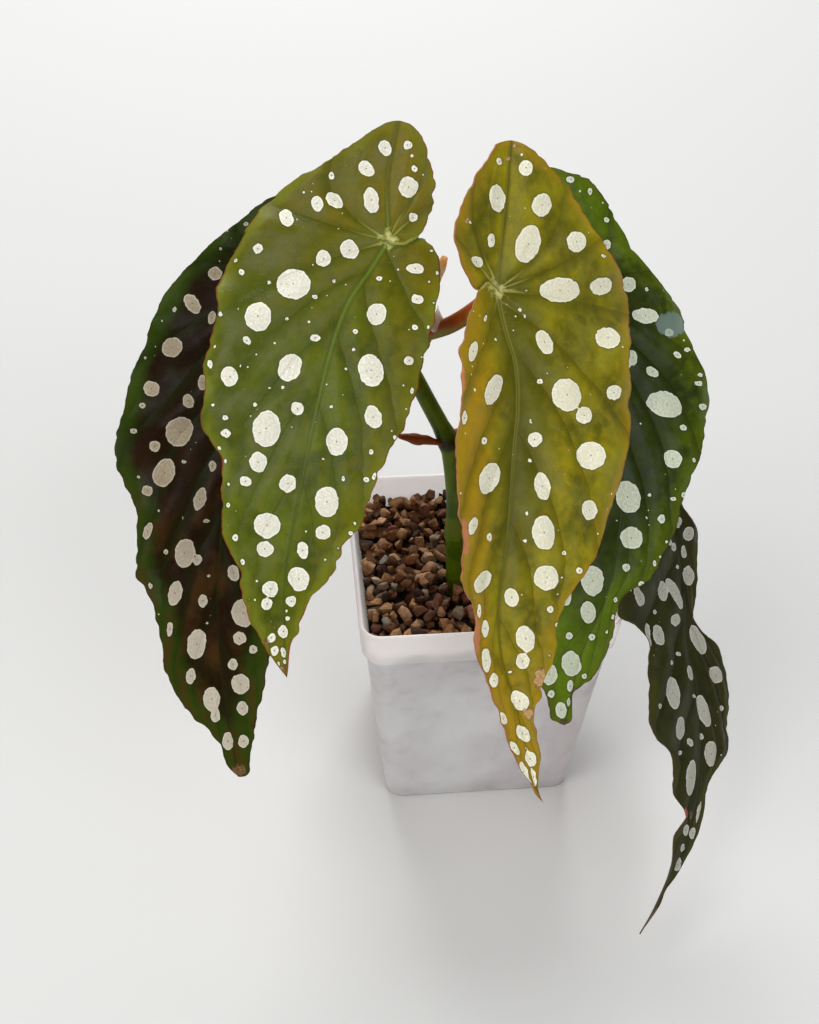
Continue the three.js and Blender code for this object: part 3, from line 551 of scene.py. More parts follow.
def toothOf(leaf, walked, sign, layer, seed):
    # the margin's small teeth and scallops, along the distance walked on it
    step, fineStep = bladeCommon["toothSteps"]
    tooth = bladeCommon["tooth"] * lump([(t / step, sign * 5, layer) for t in walked], seed)
    tooth += 0.5 * bladeCommon["tooth"] * lump([(t / fineStep, sign * 9, layer + 3) for t in walked], seed)
    drift = lump([(t / bladeCommon["driftStep"], sign * 3, layer + 6) for t in walked], seed)
    scallop = np.abs(np.sin(math.pi * (walked / bladeCommon["scallopStep"] + 1.1 * drift))) - 0.6
    return tooth + leaf["scallop"] * scallop * np.clip(0.75 + 2.2 * np.roll(drift, 7), 0.1, 1.4)


def bladeLadder(leaf, seed):
    # rungs from the middle vein to both margins: points in the blade's plane, with each rung's share of the
    # leaf (below 0 in the lobe) and each point's share of its rung (below 0 on the left)
    vein = np.array(leaf["vein"], float)
    joint = int(np.where(vein[:, 0] == 0)[0][0])
    across = np.linspace(-1, 1, 2 * bladeCommon["columns"] + 1)
    rows, shares = [], []
    for part, middle in (("Up", vein[:joint + 1]), ("Down", vein[joint:])):
        u = np.linspace(0, 1, bladeCommon["rows" + part] + 1)[1 if part == "Down" else 0:]
        centre = alongPoints(middle)(u)
        row = np.repeat(centre[:, None, :], len(across), axis=1)
        for side, otherSide, sign in (("left", "right", -1), ("right", "left", 1)):
            up, down = leaf[side + "Up"], leaf[side + "Down"]
            notched = math.hypot(*down[0]) < bladeCommon["notchReach"]
            if part == "Up":
                before, after = leaf[otherSide + "Up"][1], None if notched else down[1]
            else:
                before, after = None if notched else up[-2], None
            margin = alongPoints(np.array(leaf[side + part], float), before, after)(u)
            span = margin - centre
            reach = np.linalg.norm(span, axis=1)
            walked = np.concatenate([[0], np.cumsum(np.linalg.norm(np.diff(margin, axis=0), axis=1))])
            tooth = toothOf(leaf, walked, sign, 1 if part == "Up" else 2, seed)
            margin += span / np.maximum(reach, 1)[:, None] * (tooth * stepUp(reach, 0.5, 5))[:, None]
            share = np.clip(sign * across, 0, 1)[None, :, None]
            row += (margin - centre)[:, None, :] * share
        rows.append(row)
        shares.append(u - 1 if part == "Up" else u)
    return np.concatenate(rows), np.concatenate(shares), across


def veinField(pairs, share, across):
    # which side vein a point lies on: a number that is whole on a vein and runs smoothly between them
    starts = np.array([0, *[p[0] for p in pairs], 1])
    ends = np.array([-1.35, *[p[1] for p in pairs], 1.06])
    numbers = np.array([-0.5, *range(len(pairs)), len(pairs) - 0.5])
    low, high = np.full(share.shape, numbers[0]), np.full(share.shape, numbers[-1])
    bend = np.abs(across) ** 1.05
    for _ in range(26):
        middle = (low + high) / 2
        place = np.interp(middle, numbers, starts) * (1 - bend) + np.interp(middle, numbers, ends) * bend
        low = np.where(place < share, middle, low)
        high = np.where(place < share, high, middle)
    return (low + high) / 2


def onBlade(leaf, pixels):
    # where the sight lines through picture points meet the blade, as [along, right]
    right, below, forward = (np.array(v) for v in cameraAxes())
    attach, along, side, facing, length = bladeFrame(leaf)
    focal = cameraSpot["lens"] / cameraSpot["sensor"] * cameraSpot["pictureHeight"]
    x = (pixels[:, 0] - cameraSpot["pictureWidth"] / 2) / focal
    y = (pixels[:, 1] - cameraSpot["pictureHeight"] / 2) / focal
    sight = forward + x[:, None] * right + y[:, None] * below
    start = np.array(cameraSpot["place"]) - attach
    reach = -(start @ facing) / (sight @ facing)
    for _ in range(40):
        hit = start + sight * reach[:, None]
        height = reliefOf(leaf, length, hit @ along, hit @ side)
        reach = 0.5 * reach + 0.5 * (height - start @ facing) / (sight @ facing)
    hit = start + sight * reach[:, None]
    return np.stack([hit @ along, hit @ side], axis=-1)


def ellipse(x, y, width, height=None, lean=0):
    return x, y, width, width if height is None else height, lean


def spotShapes(leaf, kind):
    # every spot's middle in the blade's plane, with the matrix that makes it a unit circle
    if kind not in leaf:
        return []
    seen = np.array([ellipse(*spot) for spot in leaf[kind]], float)
    turn = np.radians(seen[:, 4])
    wide = np.stack([np.cos(turn), np.sin(turn)], -1) * seen[:, 2:3] / 2
    tall = np.stack([-np.sin(turn), np.cos(turn)], -1) * seen[:, 3:4] / 2
    middle, first, second = (onBlade(leaf, seen[:, :2] + shift) for shift in (0, wide, tall))
    shapes = [(m, np.linalg.inv(np.stack([f - m, s - m], -1))) for m, f, s in zip(middle, first, second)]
    if kind == "spots":
        shapes += [(np.array([a, b], float), np.diag([1.7 / width, 2.3 / width]))
                   for a, b, width in leaf.get("hiddenSpots", ())]
    return shapes


def spotField(shapes, flat):
    # distance inside the nearest spot's edge in millimetres, and the offset from its middle
    best = np.full(len(flat), -9.0)
    offset = np.tile([9.0, 9.0, 0.0], (len(flat), 1))
    for middle, toCircle in shapes:
        away = flat - middle
        ring = away @ toCircle.T
        size = np.maximum(np.linalg.norm(ring, axis=1), 1e-3)
        slope = np.linalg.norm((ring / size[:, None]) @ toCircle, axis=1)
        inside = (1 - size) / slope
        nearer = inside > best
        best = np.where(nearer, inside, best)
        offset[nearer, :2] = away[nearer]
    return best, offset


def seamField(seam, flat):
    # where one side of the notch lies over the other: distance from that edge, above 0 on the covered side
    best = np.full(len(flat), 9.0)
    for first, second in zip(seam, seam[1:]):
        start, step = np.array(first, float), np.subtract(second, first)
        share = np.clip((flat - start) @ step / (step @ step), 0, 1)
        away = flat - start - share[:, None] * step
        side = np.sign(step[0] * (flat[:, 1] - start[1]) - step[1] * (flat[:, 0] - start[0]))
        distance = np.linalg.norm(away, axis=1) * side
        best = np.where(np.abs(distance) < np.abs(best), distance, best)
    return best


def bladeFields(leaf, rungs, share, across):
    # for every point of the blade: its shares, its distances in millimetres, and its side vein
    count, width = rungs.shape[:2]
    flat = rungs.reshape(-1, 2)
    leafShare, sideShare = np.repeat(share, width), np.tile(across, count)
    centre = rungs[:, width // 2]
    reaches = (np.repeat(np.linalg.norm(margin - centre, axis=1), width)
               for margin in (rungs[:, 0], rungs[:, -1]))
    reach = np.where(sideShare < 0, *reaches)
    # side veins: their numbers, and how far apart they run
    veins = [veinField(pairs, leafShare, sideShare) for pairs in leaf["veins"]]
    pu, pv = np.gradient(rungs, axis=0), np.gradient(rungs, axis=1)
    area = pu[..., 0] * pv[..., 1] - pu[..., 1] * pv[..., 0]
    area = np.where(np.abs(area) < 1e-6, 1e-6, area)
    gaps = []
    for vein in veins:
        grid = vein.reshape(count, width)
        du, dv = np.gradient(grid, axis=0), np.gradient(grid, axis=1)
        ga = (du * pv[..., 1] - dv * pu[..., 1]) / area
        gb = (dv * pu[..., 0] - du * pv[..., 0]) / area
        gaps.append(np.clip(1 / np.maximum(np.hypot(ga, gb), 0.02), 0.3, 20).ravel())
    return {
        "leafShare": leafShare, "sideShare": sideShare, "fromMiddle": np.abs(sideShare) * reach,
        "fromMargin": (1 - np.abs(sideShare)) * reach, "veinNumber": np.where(sideShare < 0, *veins),
        "veinGap": np.where(sideShare < 0, *gaps), "seam": seamField(leaf.get("seam", ()), flat),
    }


def bladeHeight(leaf, rungs, fields, seed):
    # relief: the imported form, quilted between the veins, creased along them and rippled at the margin
    flat = rungs.reshape(-1, 2)
    middle, margin, share, number, gap, seam = (
        fields[key] for key in ("fromMiddle", "fromMargin", "leafShare", "veinNumber", "veinGap", "seam"))
    centre = rungs[:, rungs.shape[1] // 2]
    toEnds = np.minimum(*(np.linalg.norm(flat - end, axis=1) for end in (centre[0], centre[-1])))
    height = reliefOf(leaf, bladeFrame(leaf)[-1], flat[:, 0], flat[:, 1])
    inner = stepUp(middle, 0.5, 5) * stepUp(margin, 0, 4) * stepUp(toEnds, 1, 8)
    inner *= 1 - 0.65 * stepUp(share, 0.4, 0.85)
    quilt = np.sin(math.pi * (number - np.floor(number))) ** 2 * np.clip(gap / 9, 0.15, 1)
    height += bladeCommon["quilt"] * quilt * inner
    nearest = np.abs(number - np.round(number)) * gap
    height -= bladeCommon["crease"] * np.exp(-(nearest / bladeCommon["creaseWidth"]) ** 2) * inner
    rib = np.exp(-(middle / bladeCommon["ribWidth"]) ** 2) * stepUp(share, 0, 0.05)
    height -= 1.4 * bladeCommon["crease"] * rib
    swell = 0
    for depth, step, shift in bladeCommon["lumps"]:
        swell += depth * lump(np.column_stack([flat / step, np.zeros(len(flat))]), seed + shift)
    height += swell * stepUp(margin, 0, 3) * stepUp(toEnds, 0.5, 6)
    sides = np.sign(fields["sideShare"])
    ripple = lump([(a / bladeCommon["rippleStep"], s * 4, 7) for a, s in zip(flat.sum(axis=1), sides)], seed)
    height += bladeCommon["ripple"] * ripple * np.exp(-(margin / 4) ** 2) * stepUp(toEnds, 1, 6)
    height -= np.where(seam > 0, 0.5 * np.exp(-seam / 1.4), -0.2 * np.exp(seam)) * (np.abs(seam) < 8)
    return height


def makeBlade(name, leaf, seed):
    attach, along, side, facing, _ = bladeFrame(leaf)
    rungs, share, across = bladeLadder(leaf, seed)
    flat = rungs.reshape(-1, 2)
    fields = bladeFields(leaf, rungs, share, across)
    height = bladeHeight(leaf, rungs, fields, seed)
    place = attach + flat[:, :1] * along + flat[:, 1:] * side + height[:, None] * facing
    # the sheet itself
    count, width = rungs.shape[:2]
    bm = bmesh.new()
    made = bmesh.ops.create_grid(bm, x_segments=width - 1, y_segments=count - 1, size=0.5)["verts"]
    made.sort(key=lambda v: (round(v.co.y, 6), round(v.co.x, 6)))
    for vert, point in zip(made, place):
        vert.co = Vector(point) * mm
    bm.verts.index_update()
    order = np.array([v.index for v in made])
    blade = objectFrom(bm, "blade_" + name)
    mesh = blade.data
    # what the finish reads: spots, scars and marks, shares and distances, and the blade laid flat
    fields["spotField"], fields["spotOffset"] = spotField(spotShapes(leaf, "spots"), flat)
    fields["scarField"], fields["markField"] = (spotField(spotShapes(leaf, kind), flat)[0]
                                                for kind in ("scars", "marks"))
    for key, values in fields.items():
        ordered = np.empty(values.shape, dtype=np.float32)
        ordered[order] = values
        kind, label = ("FLOAT_VECTOR", "vector") if values.ndim > 1 else ("FLOAT", "value")
        mesh.attributes.new(key, kind, "POINT").data.foreach_set(label, ordered.ravel())
    flatByVert = np.empty(flat.shape)
    flatByVert[order] = flat
    corners = np.empty(len(mesh.loops), dtype=np.int64)
    mesh.loops.foreach_get("vertex_index", corners)
    layer = mesh.uv_layers.new(name="bladeMap")
    layer.data.foreach_set("uv", (flatByVert[corners] / bladeCommon["mapSize"]).astype(np.float32).ravel())
    # the poles at the lobe and at the tip
    bm = bmesh.new()
    bm.from_mesh(mesh)
    bmesh.ops.remove_doubles(bm, verts=bm.verts, dist=0.02 * mm)
    bmesh.ops.dissolve_degenerate(bm, edges=bm.edges, dist=0.01 * mm)
    bm.normal_update()
    upward = sum((f.normal * f.calc_area() for f in bm.faces), Vector())
    if upward.dot(Vector(facing)) < 0:
        bmesh.ops.reverse_faces(bm, faces=bm.faces)
    bm.to_mesh(mesh)
    bm.free()
    smoothFaces(blade)
    thick = blade.modifiers.new("thickness", "SOLIDIFY")
    thick.thickness = bladeCommon["thickness"] * mm
    thick.offset = 0
    thick.material_offset = 1
    thick.material_offset_rim = 2
    thick.use_even_offset = False
    return blade


# Finish of the blades. Distances are in millimetres, measured on the blade.
def bladeMap(tree):
    flat = out(put("UVMap", tree=tree, uv_map="bladeMap"), "UV")
    return out(put("VectorMath", {0: flat, "Scale": bladeCommon["mapSize"]}, operation="SCALE"))


def lineMask(distance, width):
    # 1 on a line that is "width" wide, soft at its edges
    return 1 - fromTo(distance, width * 0.45, width)


def netOf(place, scale, randomness, low, high):
    # the fine net of veins: 1 on its lines
    return 1 - fromTo(out(cells(place, scale, randomness, feature="DISTANCE_TO_EDGE")), low, high)


def makeBladeFace():
    tree, given, result = newGroup("bladeFace", {
        "Deep": (0.09, 0.09, 0.01), "Light": (0.16, 0.16, 0.04), "Flush": (0.2, 0.1, 0.02), "Flush mask": 0.0,
        "Band": (0.1, 0.12, 0.01), "Band width": 3.0, "Vein": (0.2, 0.22, 0.06), "Vein strength": 0.5,
        "Midrib": (0.2, 0.3, 0.06), "Midrib strength": 0.8, "Midrib width": 0.7, "Midrib split": 0.0,
        "Star": (0.55, 0.55, 0.25), "Ray": (0.3, 0.32, 0.06), "Shade mask": 0.0, "Painted sheen and tint": (0.13, 0.14, 0.07),
        "Painted sheen and tint mask": 0.0, "Spot": (0.78, 0.78, 0.66), "Spot shade": (0.5, 0.52, 0.42), "Spot painted light": 0.0,
        "Dots": 0.5, "Rim": (0.2, 0.05, 0.02), "Scar": (0.2, 0.1, 0.04), "Mark": (0.3, 0.35, 0.33),
        "Mark share": 0.5,
    })
    flat = bladeMap(tree)
    fromMiddle, fromMargin, leafShare, number, gap, seam, spotEdge = (valueOf(tree, key) for key in (
        "fromMiddle", "fromMargin", "leafShare", "veinNumber", "veinGap", "seam", "spotField"))
    # green, cloudy and grained
    cloud = speckle(flat, 0.085, 2.0)
    patch = speckle(flat, 0.38)
    grain = speckle(flat, 3.2, 2.0)
    tone = fromTo(cloud, 0.36, 0.66, 0.0, 0.7) + fromTo(patch, 0.35, 0.7, 0.0, 0.3)
    colour = mixColour(tone, given["Deep"], given["Light"])
    colour = mixColour(clamped(given["Flush mask"] + stray(patch, 0.18)), colour, given["Flush"])
    inBand = 1 - fromTo(fromMargin + stray(cloud, 1.5), 0.0, given["Band width"])
    colour = mixColour(inBand * 0.8, colour, given["Band"])
    colour = mixColour(fromTo(grain, 0.35, 0.75, 0.0, 0.18), colour, given["Light"])
    colour = mixColour(clamped(given["Shade mask"] + stray(cloud, 0.2)), colour, given["Deep"])
    # side veins, with painted shade in the hollow along each, darker on its tip side
    fromVein = calc("PINGPONG", number, 0.5)
    nearVein = fromVein * gap
    veinShade = 1 - fromTo(nearVein, 0.05, calc("MINIMUM", gap * 0.45, 3.2))
    tipSide = calc("LESS_THAN", calc("FRACT", number), 0.5)
    veinShade = veinShade * (tipSide * 0.3 + 0.3) * fromTo(leafShare, 0.4, 0.85, 1.0, 0.35)
    colour = mixColour(veinShade, colour, given["Deep"])
    fromStalk = lengthOf(flat)
    nearStalk = (1 - fromTo(fromStalk, 1.0, 13.0)) * fromTo(leafShare, 0.0, 0.05, 1.0, 0.35)
    veinWidth = calc("MINIMUM", nearStalk * 0.3 + 0.22, gap * 0.22)
    vein = lineMask(nearVein, veinWidth) * fromTo(abs(valueOf(tree, "sideShare")), 0.35, 1.0, 1.0, 0.15)
    veinShare = clamped(vein * (nearStalk * 0.35 + given["Vein strength"]))
    colour = mixColour(veinShare, colour, mixColour(nearStalk, given["Vein"], given["Ray"]))
    # painted sheen: a dull grey veil on the cushions between the veins, and on some leaves a plain tint of
    # their own
    streaky = fromTo(speckle(flat, 0.11, 3.0, 0.55), 0.38, 0.66)
    colour = mixColour(fromTo(fromVein, 0.08, 0.32) * streaky * given["Painted sheen and tint mask"], colour, given["Painted sheen and tint"])
    # the fine net, bent by a coarser noise
    sway = out(put("TexNoise", {"Vector": flat, "Scale": 0.5, "Detail": 2.0}), "Color")
    swayed = out(put("VectorMath", {0: sway, 1: (3.0, 3.0, 0.0), 2: flat}, operation="MULTIPLY_ADD"))
    netLine = netOf(swayed, 0.36, 1.0, 0.006, 0.045)
    colour = mixColour(netLine * 0.1, colour, given["Deep"])
    # middle vein: wide at the stalk and fine at the tip, with a dark line down each flank
    inLobe = calc("LESS_THAN", leafShare, 0.0)
    ribWidth = given["Midrib width"] * (inLobe * -0.45 + fromTo(leafShare, 0.0, 0.85, 1.0, 0.22))
    colour = mixColour(lineMask(fromMiddle, ribWidth * 2.6) * 0.45, colour, given["Deep"])
    rib = (1 - fromTo(fromMiddle, ribWidth * 0.1, ribWidth * 1.15)) * given["Midrib strength"]
    lobeFade = 1 - inLobe * fromTo(fromStalk, 3.0, 14.0)
    colour = mixColour(rib * fromTo(leafShare, 0.05, 0.7, 1.0, 0.3) * lobeFade, colour, given["Midrib"])
    split = lineMask(fromMiddle, ribWidth * 0.5)
    colour = mixColour(split * given["Midrib split"], colour, given["Deep"])
    # pale star where the stalk meets the blade
    star = 1 - fromTo(fromStalk + stray(speckle(flat, 0.5), 1.2), 0.5, 2.6)
    colour = mixColour(star * 0.9, colour, given["Star"])
    # the edge of the side that lies on top at the notch, and the shadow it throws
    shadow = fromTo(seam, -0.05, 0.1) * (1 - fromTo(seam, 0.2, 1.6))
    colour = mixColour(shadow * 0.7, colour, given["Deep"])
    colour = mixColour(lineMask(abs(seam + 0.15), 0.35) * 0.7, colour, given["Ray"])
    # thin coloured margin
    colour = mixColour(1 - fromTo(fromMargin + stray(patch, 0.15), 0.04, 0.34), colour, given["Rim"])
    # tiny dots between the spots, closer together near the margin
    more = fromTo(fromMargin, 2.0, 7.0, 0.09, 0.0)
    dotShare = 0.0
    for scale, least, reach in ((0.3, 0.86, 1.15), (0.55, 0.93, 0.9)):
        cell = cells(flat, scale)
        chance = out(put("SeparateColor", {0: out(cell, "Color")}))
        radius = (chance + (given["Dots"] * 0.2 + more) - least) * reach
        dot = fromTo(radius - out(cell, "Distance") / scale, -0.02, 0.07)
        dotShare = calc("MAXIMUM", dotShare, dot)
    dotShare = dotShare * fromTo(spotEdge, -0.9, -0.5, 1.0, 0.0)
    # the spots: wobbly edge with a pale rim, silvery grain, faint veins and a dark prick in the middle
    edge = spotEdge + fromTo(speckle(flat, 0.6, 1.5), 0.3, 0.7, -0.17, 0.1)
    colour = mixColour(fromTo(edge, -0.5, -0.05) * 0.4, colour, given["Deep"])
    silver = speckle(flat, 1.7, 5.0, 0.62)
    spotTone = mixColour(fromTo(silver, 0.4, 0.66, 0.85, 0.0), given["Spot"], given["Spot shade"])
    spotTone = mixColour(fromTo(cloud, 0.4, 0.62, 0.0, 0.45), spotTone, given["Spot shade"])
    # painted light: spots lifted towards a warm white where the leaf lies in more light
    spotTone = mixColour(given["Spot painted light"], spotTone, (1.0, 0.98, 0.9))
    paler = mixColour(0.3, given["Spot"], (1.0, 1.0, 1.0))
    spotTone = mixColour(fromTo(edge, 0.12, 0.55, 0.55, 0.0), spotTone, paler)
    shadeLine = calc("MAXIMUM", netLine * 0.1, vein * 0.22)
    spotTone = mixColour(shadeLine, spotTone, mixColour(0.5, given["Spot shade"], given["Light"]))
    prick = lineMask(lengthOf(valueOf(tree, "spotOffset", "Vector")), 0.24) * fromTo(spotEdge, 0.22, 0.4)
    spotTone = mixColour(prick * 0.8, spotTone, (0.06, 0.04, 0.02))
    white = calc("MAXIMUM", fromTo(edge, 0.0, 0.14), dotShare)
    colour = mixColour(white, colour, spotTone)
    # pinholes, darkest in the spots
    pits = cells(flat, 0.75)
    pitChance = out(put("SeparateColor", {0: out(pits, "Color")}), 1)
    pit = calc("LESS_THAN", out(pits, "Distance"), 0.13) * calc("GREATER_THAN", pitChance, 0.76)
    colour = mixColour(pit * (white * 0.2 + 0.3), colour, (0.05, 0.03, 0.01))
    # marks: a smooth film or a flushed fold, let through by its share
    ragged = speckle(flat, 0.7)
    mark = fromTo(valueOf(tree, "markField") + stray(ragged, 0.35), -0.3, 0.35) * given["Mark share"]
    colour = mixColour(mark, colour, given["Mark"])
    # dried scars and tips, with a dark edge
    scarEdge = valueOf(tree, "scarField") + stray(ragged, 0.45)
    scarTone = mixColour(fromTo(speckle(flat, 1.1), 0.4, 0.7, 0.0, 0.35), given["Scar"], given["Deep"])
    scarTone = mixColour(fromTo(speckle(flat, 2.6, 4.0), 0.5, 0.75, 0.0, 0.6), scarTone, given["Spot"])
    colour = mixColour(fromTo(scarEdge, -0.15, 0.2) * 0.72, colour, scarTone)
    colour = mixColour(lineMask(abs(scarEdge - 0.05), 0.22) * 0.5, colour, (0.06, 0.025, 0.008))
    relief = netLine * -0.03 + grain * 0.07 + vein * -0.12 + silver * 0.05 + white * 0.05 + rib * 0.3
    give(result, {"Color": colour, "Roughness": white * 0.16 + fromTo(patch, 0.3, 0.7, 0.3, 0.42),
                  "Height": relief})
    return tree


def makeBladeBack():
    tree, given, result = newGroup("bladeBack", {
        "Deep": (0.1, 0.01, 0.01), "Light": (0.25, 0.04, 0.03), "Vein": (0.4, 0.12, 0.08),
        "Spot": (0.4, 0.15, 0.12), "Rim": (0.2, 0.05, 0.02),
    })
    flat = bladeMap(tree)
    grain = speckle(flat, 2.4)
    colour = mixColour(fromTo(speckle(flat, 0.11), 0.35, 0.65), given["Deep"], given["Light"])
    colour = mixColour(fromTo(grain, 0.35, 0.7, 0.0, 0.35), colour, given["Light"])
    colour = mixColour(fromTo(valueOf(tree, "spotField"), -0.3, 0.5) * 0.4, colour, given["Spot"])
    vein = lineMask(calc("PINGPONG", valueOf(tree, "veinNumber"), 0.5) * valueOf(tree, "veinGap"), 0.55)
    taper = fromTo(valueOf(tree, "leafShare"), 0.0, 0.9, 1.5, 0.4)
    raised = calc("MAXIMUM", vein * 0.7, lineMask(valueOf(tree, "fromMiddle"), taper))
    colour = mixColour(raised, colour, given["Vein"])
    netLine = netOf(flat, 0.42, 0.9, 0.01, 0.08)
    colour = mixColour(netLine * 0.3, colour, given["Vein"])
    colour = mixColour(1 - fromTo(valueOf(tree, "fromMargin"), 0.1, 0.7), colour, given["Rim"])
    give(result, {"Color": colour, "Roughness": fromTo(grain, 0.3, 0.7, 0.38, 0.5),
                  "Height": raised * 0.5 + netLine * 0.12 + grain * 0.06})
    return tree


def softSteps(tree, rows):
    # where a colour lies on a leaf: soft steps over the leaf's own shares and distances, each with its amount
    return sum(fromTo(valueOf(tree, key), low, high) * amount for key, low, high, amount in rows)


def leafMaterial(name, group, look, bump, gloss):
    mat, tree, shader = newMaterial(name)
    values = {key: softSteps(tree, value) if isinstance(value, list) else value
              for key, value in look.items()}
    effects = put("Group", values, tree=tree, node_tree=group)
    give(shader, {"Base Color": out(effects, "Color"), "Roughness": out(effects, "Roughness"),
                  "Normal": bumpOf(out(effects, "Height"), bump), "Specular IOR Level": gloss})
    return mat


def rimMaterial(name, first, second):
    mat, tree, shader = newMaterial(name)
    give(shader, {"Base Color": mixColour(speckle(placeIn(tree), 900.0), first, second), "Roughness": 0.45})
    return mat


